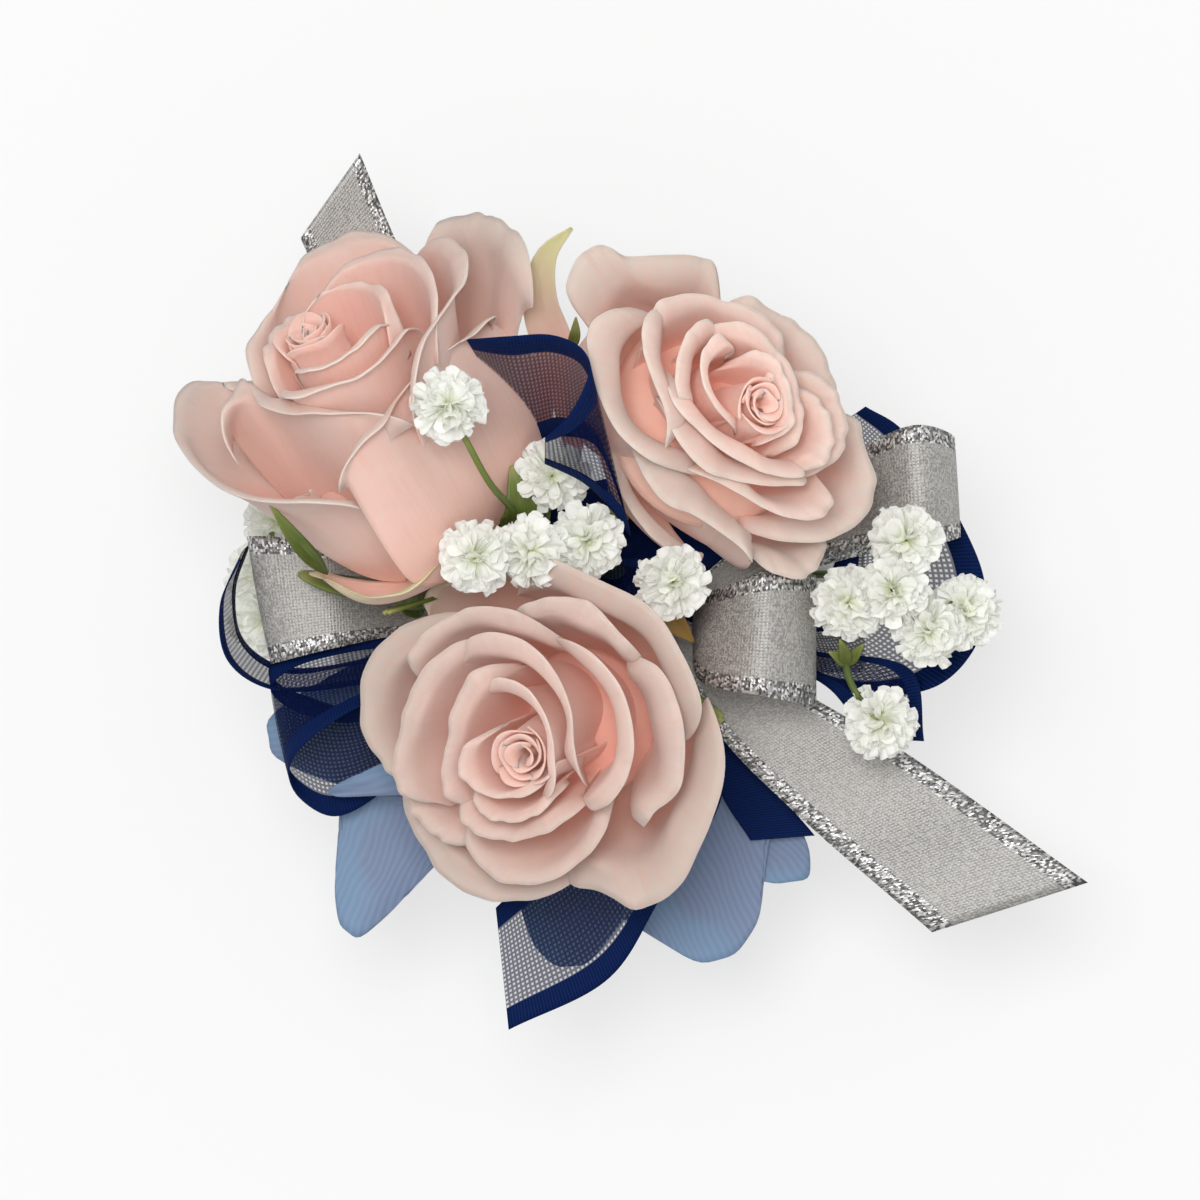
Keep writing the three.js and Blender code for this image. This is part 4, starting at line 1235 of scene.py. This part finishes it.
def silk_petal(root, tip, width, seed):
    """A petal from root to tip whose half-width follows a sine.

    The tip is rounded off by the square of the side share, and the rim is frilled by two seeded sines.
    """
    side, along = shares(SILK_ROWS, SILK_COLUMNS)
    outwards = tip - root
    length = np.linalg.norm(outwards)
    sideways = unit(np.cross([0, 0, 1], outwards))
    phase = np.random.default_rng(seed).uniform(0, 2 * np.pi, 2)
    swell = np.sin(np.pi * (0.12 + 0.7 * along))
    half = width / 2 * (0.16 + 0.84 * swell)
    frill = np.sin(7 * side + phase[0]) + 0.6 * np.sin(13 * side + phase[1])
    forward = length * (along * (1 - 0.3 * side**2) + 0.006 * frill * along**3)
    lift = 0.4 * np.sin(np.pi * along) + 0.35 * np.sin(5 * side + 3 * along + phase[1]) * along**2
    points = (
        root + forward[..., None] * unit(outwards) + (half * side)[..., None] * sideways
        + lift[..., None] * np.array([0, 0, 1.0])
    )
    uv = np.stack([half * side, length * along], axis=-1).reshape(-1, 2)
    return points, uv


for order, (name, (root, tip, width)) in enumerate(SILK_PETALS.items()):
    points, uv = silk_petal(root, tip, width, SILK_SEED + order)
    faces = grid_faces(SILK_ROWS, SILK_COLUMNS)
    piece = make_piece(f"{name}_cloth", points.reshape(-1, 3), faces, uv, SILK)
    thicken(piece, SILK_THICK)
    declare_cloth(points)
    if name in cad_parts:
        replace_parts(piece, name)
    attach(piece, "spray")
print(len(SILK_PETALS), "silk petals")

# %% [markdown]
# ## Baby's breath
# Each floret is a ball of ruffled white petals, yellow-green where they meet. Copying one small petal to
# many directions with arrays keeps it light: the directions follow a golden spiral over a ball.

# %% Floret material
def floret_finish():
    """Pale green root, white petal, with faint streaks and a faint painted glow in the same colours."""
    material, tree, shader = new_material("babys_breath")
    _, _, v = uv_parts(tree)
    white = ramp(tree, v, [(0, "#DFE5BE"), (0.3, "#F0F3DF"), (0.55, "#F8F9F0"), (1, "#FAFAF4")])
    streak = veins(tree, across=9.0, along=3.0)
    wire(tree, shader.inputs["Base Color"], mix(tree, rise(tree, streak, 0.5, 0.8), white, rgb("#EEF1E4")))
    # Painted glow: the petals give off a little light of their own colours, which lightens the shade between
    # them.
    wire(tree, shader.inputs["Emission Color"], white)
    set_plain(
        shader, Emission_Strength=0.05, Roughness=0.7,
        Subsurface_Weight=0.6, Subsurface_Radius=(1.0, 1.0, 0.9), Subsurface_Scale=0.002,
    )
    return material


FLORET = floret_finish()
print("floret finish:", FLORET.name)

# %% Florets and their stems
SPRIGS = {
    "sprig_upper": (
        [at(545, 590, 0.4), at(530, 560, 14), at(512, 510, 30), at(488, 480, 40), at(450, 408, 46)],
        [at(450, 408, 46)],
    ),
    "sprig_centre": (
        [at(566, 592, 0.4), at(562, 580, 10), at(545, 540, 24)],
        [at(552, 476, 27), at(476, 557, 34), at(532, 552, 32), at(587, 540, 30)],
    ),
    "sprig_middle": ([at(656, 596, KNOT_TOP + 1.9), at(672, 582, 26)], [at(672, 582, 26)]),
    "sprig_left": (
        [np.array([TAPE_LOW[0] - 0.3, 0, TAPE_MIDDLE]), at(340, 590, -4), at(266, 598, -4.2)],
        [at(257, 578, -4.2), at(262, 620, -4.2), at(276, 522, -4)],
    ),
    "sprig_right": (
        [np.array([TAPE_HIGH[0] + 0.3, 0, TAPE_MIDDLE]), at(828, 574, -3), at(852, 580, 8), at(870, 590, 14)],
        [at(905, 540, 18), at(848, 603, 17), at(893, 590, 19), at(930, 630, 17), at(966, 612, 15)],
    ),
    "sprig_right_low": ([at(842, 637, 14.9), at(852, 684, 14), at(880, 722, 14)], [at(880, 722, 14)]),
}
FLORET_PETALS = 150
FLORET_ROWS = 5
FLORET_COLUMNS = 4
FLORET_ROOT = 0.6
FLORET_STRETCH = np.array([1.06, 1.06, 0.9])
FLORET_SEED = 300


def floret(centre, seed):
    """Petals on a golden spiral from the top of a ball to below its middle.

    Each is a 5 by 4 grid of forward and side shares: it widens as a sine, curls with the square of the
    forward share and is cupped by the square of the side share, in a frame turned at random. The few petals
    at the top keep the greener start of the colours.
    """
    chance = np.random.default_rng(seed)
    number = np.arange(FLORET_PETALS) + 0.5
    polar = np.arccos(1 - 1.7 * number / FLORET_PETALS)
    turn = number * np.radians(GOLDEN_ANGLE)
    ahead = np.stack([np.sin(polar) * np.cos(turn), np.sin(polar) * np.sin(turn), np.cos(polar)], axis=-1)
    ahead = unit(ahead + chance.normal(0, 0.12, ahead.shape))
    sideways = unit(np.cross(ahead, unit(chance.normal(0, 1, ahead.shape))))
    upwards = np.cross(ahead, sideways)
    side, along = shares(FLORET_ROWS, FLORET_COLUMNS)
    each = (FLORET_PETALS, 1, 1)
    reach = chance.uniform(3.7, 5.0, each)
    width = chance.uniform(0.7, 1.1, each)
    curl = chance.uniform(-1.3, 1.3, each)
    forward = FLORET_ROOT + (reach - FLORET_ROOT) * along * (1 - 0.1 * side**2)
    sweep = width * side * (0.25 + 0.75 * np.sin(np.pi / 2 * along))
    lift = curl * along**2 + 0.45 * side**2 * along
    points = (
        forward[..., None] * ahead[:, None, None] + sweep[..., None] * sideways[:, None, None]
        + lift[..., None] * upwards[:, None, None]
    )
    points = points * FLORET_STRETCH + centre
    starts = side.size * np.arange(FLORET_PETALS)
    faces = grid_faces(FLORET_ROWS, FLORET_COLUMNS)[None] + starts[:, None, None]
    core = np.exp(-(polar / 0.35) ** 2)[:, None, None]
    uv = np.stack(np.broadcast_arrays((side + 1) / 2 + 0 * core, along * (1 - 0.6 * core)), axis=-1)
    return points.reshape(-1, 3), faces.reshape(-1, 4), uv.reshape(-1, 2)


FORK_LEAST = 2
CUP_RADII = np.array([0.3, 0.5, 0.9, 1.2, 1.5, 1.7, 1.6])


def sprig_stems(path, centres):
    """The main stem, a fork to every floret beside its end, and a small green cup under each floret."""
    parts = [tube(smooth_path(path, 28), np.linspace(0.55, 0.4, 28), 8)]
    for centre in centres:
        gap = np.linalg.norm(centre - path[-1])
        start = path[-1] if gap > FORK_LEAST else path[-2]
        if gap > FORK_LEAST:
            middle = (start + centre) / 2 + np.array([0, 0, -0.8])
            parts.append(tube(smooth_path([start, middle, centre], 14), 0.38, 8))
        into = unit(centre - start)
        line = centre + np.linspace(-4.6, -0.6, len(CUP_RADII))[:, None] * into
        parts.append(tube(line, CUP_RADII))
    return joined(parts)


for order, (name, (path, centres)) in enumerate(SPRIGS.items()):
    body = "low_sprig" if name == "sprig_right_low" else "spray"
    balls = joined([floret(centre, FLORET_SEED + 10 * order + k) for k, centre in enumerate(centres)])
    blossoms = make_piece(f"{name}_florets", *balls, FLORET)
    stalks = make_piece(f"{name}_stalks", *sprig_stems(path, centres), LEAF)
    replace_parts(blossoms, name)
    for piece, slot in ((blossoms, "babys_breath"), (stalks, "leaf")):
        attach(piece, body)
print(sum(len(centres) for _, centres in SPRIGS.values()), "florets")

# %% [markdown]
# ## Wristlet
# Out of the photograph's sight, the stems are wound in floral tape, a bent steel plate clamps them, and an
# elastic band goes round the wrist. The band is one loop that stretches between its top run and underside.

# %% Wristlet materials
KNOT_TURNS = 11
RUBBER_PITCH = 1.5
CROSS_THREAD_PITCH = 0.6


def elastic_finish():
    """Lengthwise rubber ribs crossed by fine threads, with painted shade in the grooves between them."""
    material, tree, shader = new_material("elastic")
    _, u, v = uv_parts(tree)
    crossed = calc(tree, "MULTIPLY_ADD", ridges(tree, v, CROSS_THREAD_PITCH), 0.4, 0.6)
    relief = calc(tree, "MULTIPLY", ridges(tree, u, RUBBER_PITCH), crossed)
    # Painted shade: the colour follows the relief, greyer in the grooves and whiter on the crowns.
    wire(tree, shader.inputs["Base Color"], mix(tree, relief, rgb("#CFCEC9"), rgb("#EFEEEA")))
    add_relief(tree, shader, relief, strength=0.6, distance=0.0004)
    set_plain(shader, Roughness=0.75)
    return material


def drawn_noise(tree, x, y, z, detail):
    """Noise on the piece's place, with that many grains per metre along each axis."""
    place = add_node(tree, "ShaderNodeTexCoord").outputs["Object"]
    place = stretched(tree, place, x, y, z)
    return add_node(tree, "ShaderNodeTexNoise", Vector=place, Scale=1.0, Detail=detail).outputs["Fac"]


def tape_finish():
    """Waxy crepe paper: green, with creases that run across the winding."""
    material, tree, shader = new_material("floral_tape")
    crepe = drawn_noise(tree, x=2600, y=500, z=500, detail=3.0)
    tone = rise(tree, crepe, 0.35, 0.7)
    wire(tree, shader.inputs["Base Color"], mix(tree, tone, rgb("#4C6A36"), rgb("#6F8F50")))
    add_relief(tree, shader, crepe, strength=0.5, distance=0.0003)
    set_plain(shader, Roughness=0.55)
    return material


def steel_finish():
    """Brushed along the plate: noise drawn out in one direction moves colour, roughness and relief."""
    material, tree, shader = new_material("brushed_steel")
    lines = drawn_noise(tree, x=60, y=4000, z=4000, detail=2.0)
    wire(tree, shader.inputs["Base Color"], mix(tree, lines, rgb("#9FA1A3"), rgb("#D2D3D4")))
    wire(tree, shader.inputs["Roughness"], rise(tree, lines, -0.4, 1.6))
    add_relief(tree, shader, lines, strength=0.15, distance=0.0001)
    set_plain(shader, Metallic=1.0)
    return material


def thread_finish():
    """Dark cord whose turns are told apart by painted highlights on their crowns and painted shade between
    them.
    """
    material, tree, shader = new_material("knot_thread")
    _, _, v = uv_parts(tree)
    turns = ridges(tree, v, 1 / KNOT_TURNS)
    # Painted light: the colour is lighter on the crowns of the turns and darker in the grooves between them.
    wire(tree, shader.inputs["Base Color"], mix(tree, turns, rgb("#0A1040"), rgb("#1C2B6E")))
    set_plain(shader, Roughness=0.6)
    return material


ELASTIC = elastic_finish()
TAPE = tape_finish()
STEEL = steel_finish()
THREAD = thread_finish()
print("wristlet finishes are ready")

# %% Band
BAND_LOW, BAND_HIGH = box_of("band_top")
BAND_WIDTH = BAND_HIGH[1] - BAND_LOW[1]
BAND_THICK = BAND_HIGH[2] - BAND_LOW[2]
BAND_END = box_of("band_right")[1][0]
BAND_ROUNDING = 0.35


def rounded(share):
    """A share from -1 to 1 pressed towards its ends, which makes a circle a rounded strip."""
    return np.sign(share) * np.abs(share) ** BAND_ROUNDING


def band_loop():
    """A rounded strip section carried round a stadium: two straight runs and two half circles."""
    bend = (BAND_HIGH[2] - BAND_THICK) / 2
    straight = BAND_END - BAND_HIGH[2] / 2
    turn = np.linspace(-np.pi / 2, np.pi / 2, 41)
    run = np.linspace(-straight, straight, 50)[1:-1]
    right = np.stack([straight + bend * np.cos(turn), bend * np.sin(turn)], axis=-1)
    top = np.stack([run[::-1], np.full_like(run, bend)], axis=-1)
    line = np.concatenate([right, top, -right, -top])
    ahead = unit(np.roll(line, -1, axis=0) - np.roll(line, 1, axis=0))
    outward = np.stack([ahead[:, 1], -ahead[:, 0]], axis=-1)
    step = np.linalg.norm(line - np.roll(line, 1, axis=0), axis=1)
    length = np.cumsum(step) - step[0]
    corner = np.linspace(0, 2 * np.pi, 32, endpoint=False)
    across = rounded(np.cos(corner)) * BAND_WIDTH / 2
    out = rounded(np.sin(corner)) * BAND_THICK / 2
    points = np.empty((len(line), len(corner), 3))
    points[..., 0] = line[:, :1] + outward[:, :1] * out
    points[..., 1] = across
    points[..., 2] = line[:, 1:] + outward[:, 1:] * out + BAND_HIGH[2] / 2
    uv = np.stack(np.broadcast_arrays(across[None], length[:, None]), axis=-1).reshape(-1, 2)
    return points.reshape(-1, 3), grid_faces(len(line), len(corner), True, True), uv, length[-1]


points, faces, uv, length = band_loop()
band = make_piece("elastic_band", points, faces, uv, ELASTIC)
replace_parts(band, "band_top", "band_lower", "band_left", "band_right")
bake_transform(band)
print(f"band: {length:.0f} mm round")

# %% Tape, knot and plate
TAPE_ROWS = 120
TAPE_PITCH = 4.2
KNOT_ROWS = 90
POINTED = 0.02


def wound_tape():
    """A round bar along X whose radius steps with the winding, closed by cones at both ends."""
    radius = (TAPE_HIGH[2] - TAPE_LOW[2]) / 2
    place = np.linspace(TAPE_LOW[0], TAPE_HIGH[0], TAPE_ROWS)
    path = np.stack([place, np.zeros(TAPE_ROWS), np.full(TAPE_ROWS, TAPE_MIDDLE)], axis=-1)
    share = np.abs(np.linspace(-1, 1, TAPE_ROWS))
    size = radius * np.where(share > 0.985, POINTED, 1 - 0.05 * ((place / TAPE_PITCH) % 1))
    return tube(path, size, 28)


def wound_knot():
    """Turns of cord stacked into a waisted bundle."""
    share = np.linspace(0, 1, KNOT_ROWS)
    path = np.tile((KNOT_LOW + KNOT_HIGH) / 2, (KNOT_ROWS, 1))
    path[:, 2] = KNOT_LOW[2] + (KNOT_HIGH[2] - KNOT_LOW[2]) * share
    waist = 0.78 + 0.17 * np.cos(2 * np.pi * share) ** 2
    turns = 0.05 * np.abs(np.sin(np.pi * KNOT_TURNS * share))
    size = (KNOT_HIGH[0] - KNOT_LOW[0]) / 2 * (waist + turns)
    size[[0, -1]] = POINTED
    return tube(path, size, 24)


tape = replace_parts(make_piece("wound_tape", *wound_tape(), TAPE), "stem_wrap")
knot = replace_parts(make_piece("wound_knot", *wound_knot(), THREAD), "bow_knot")
for piece, slot in ((tape, "floral_tape"), (knot, "knot")):
    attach(piece, "spray")
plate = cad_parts["clamp_plate"]
plate.data.materials.clear()
plate.data.materials.append(STEEL)
print("tape, knot and plate are finished")

# %% [markdown]
# ## Studio
# The object stands on a white table under one broad lamp and an even sky, seen from straight above.

# %% Studio
TABLE_HALF = 2000.0
LIFTED_TO_WHITE = 0.6


def table_finish():
    """Grey to the object, so that it throws back little light; to the camera it glows up to white."""
    material, tree, shader = new_material("table")
    path = add_node(tree, "ShaderNodeLightPath").outputs
    shown = calc(tree, "MAXIMUM", path["Is Camera Ray"], path["Is Glossy Ray"])
    shown = calc(tree, "MAXIMUM", shown, path["Is Transmission Ray"])
    set_plain(shader, Base_Color=rgb("#9A9A9A"), Roughness=0.9, Emission_Color=(1, 1, 1, 1))
    wire(tree, shader.inputs["Emission Strength"], calc(tree, "MULTIPLY", shown, LIFTED_TO_WHITE))
    return material


corners = TABLE_HALF * np.array([[-1, -1, 0], [1, -1, 0], [1, 1, 0], [-1, 1, 0]])
table = make_piece("table", corners, np.array([[0, 1, 2, 3]]), corners[:, :2] / TABLE_HALF, table_finish())
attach(table, "band_underside")

scene = bpy.context.scene
scene.view_settings.view_transform = "Standard"
world = bpy.data.worlds.new("studio_sky")
scene.world = world
world.use_nodes = True
sky = world.node_tree.nodes["Background"]
sky.inputs["Color"].default_value = (1, 1, 1, 1)
sky.inputs["Strength"].default_value = 0.64

lamp = bpy.data.lights.new("broad_lamp", "AREA")
lamp.shape = "DISK"
lamp.size = 0.6
lamp.energy = 14
lamp_object = bpy.data.objects.new("broad_lamp", lamp)
scene.collection.objects.link(lamp_object)
lamp_object.location = (-0.14, 0.2, 1.65)
lamp_object.rotation_euler = (np.radians(-6.9), np.radians(-4.9), 0)

CAMERA_DISTANCE = 2.2
SENSOR_WIDTH = 36
PICTURE_WIDTH = PHOTO_SIZE * MM_PER_PIXEL * MM
lens = bpy.data.cameras.new("camera")
lens.sensor_width = SENSOR_WIDTH
lens.lens = SENSOR_WIDTH * CAMERA_DISTANCE / PICTURE_WIDTH
camera = bpy.data.objects.new("camera", lens)
scene.collection.objects.link(camera)
camera.location = at(PHOTO_SIZE / 2, PHOTO_SIZE / 2, 20) * MM + np.array([0, 0, CAMERA_DISTANCE])
scene.camera = camera
print("camera lens:", round(lens.lens), "mm")
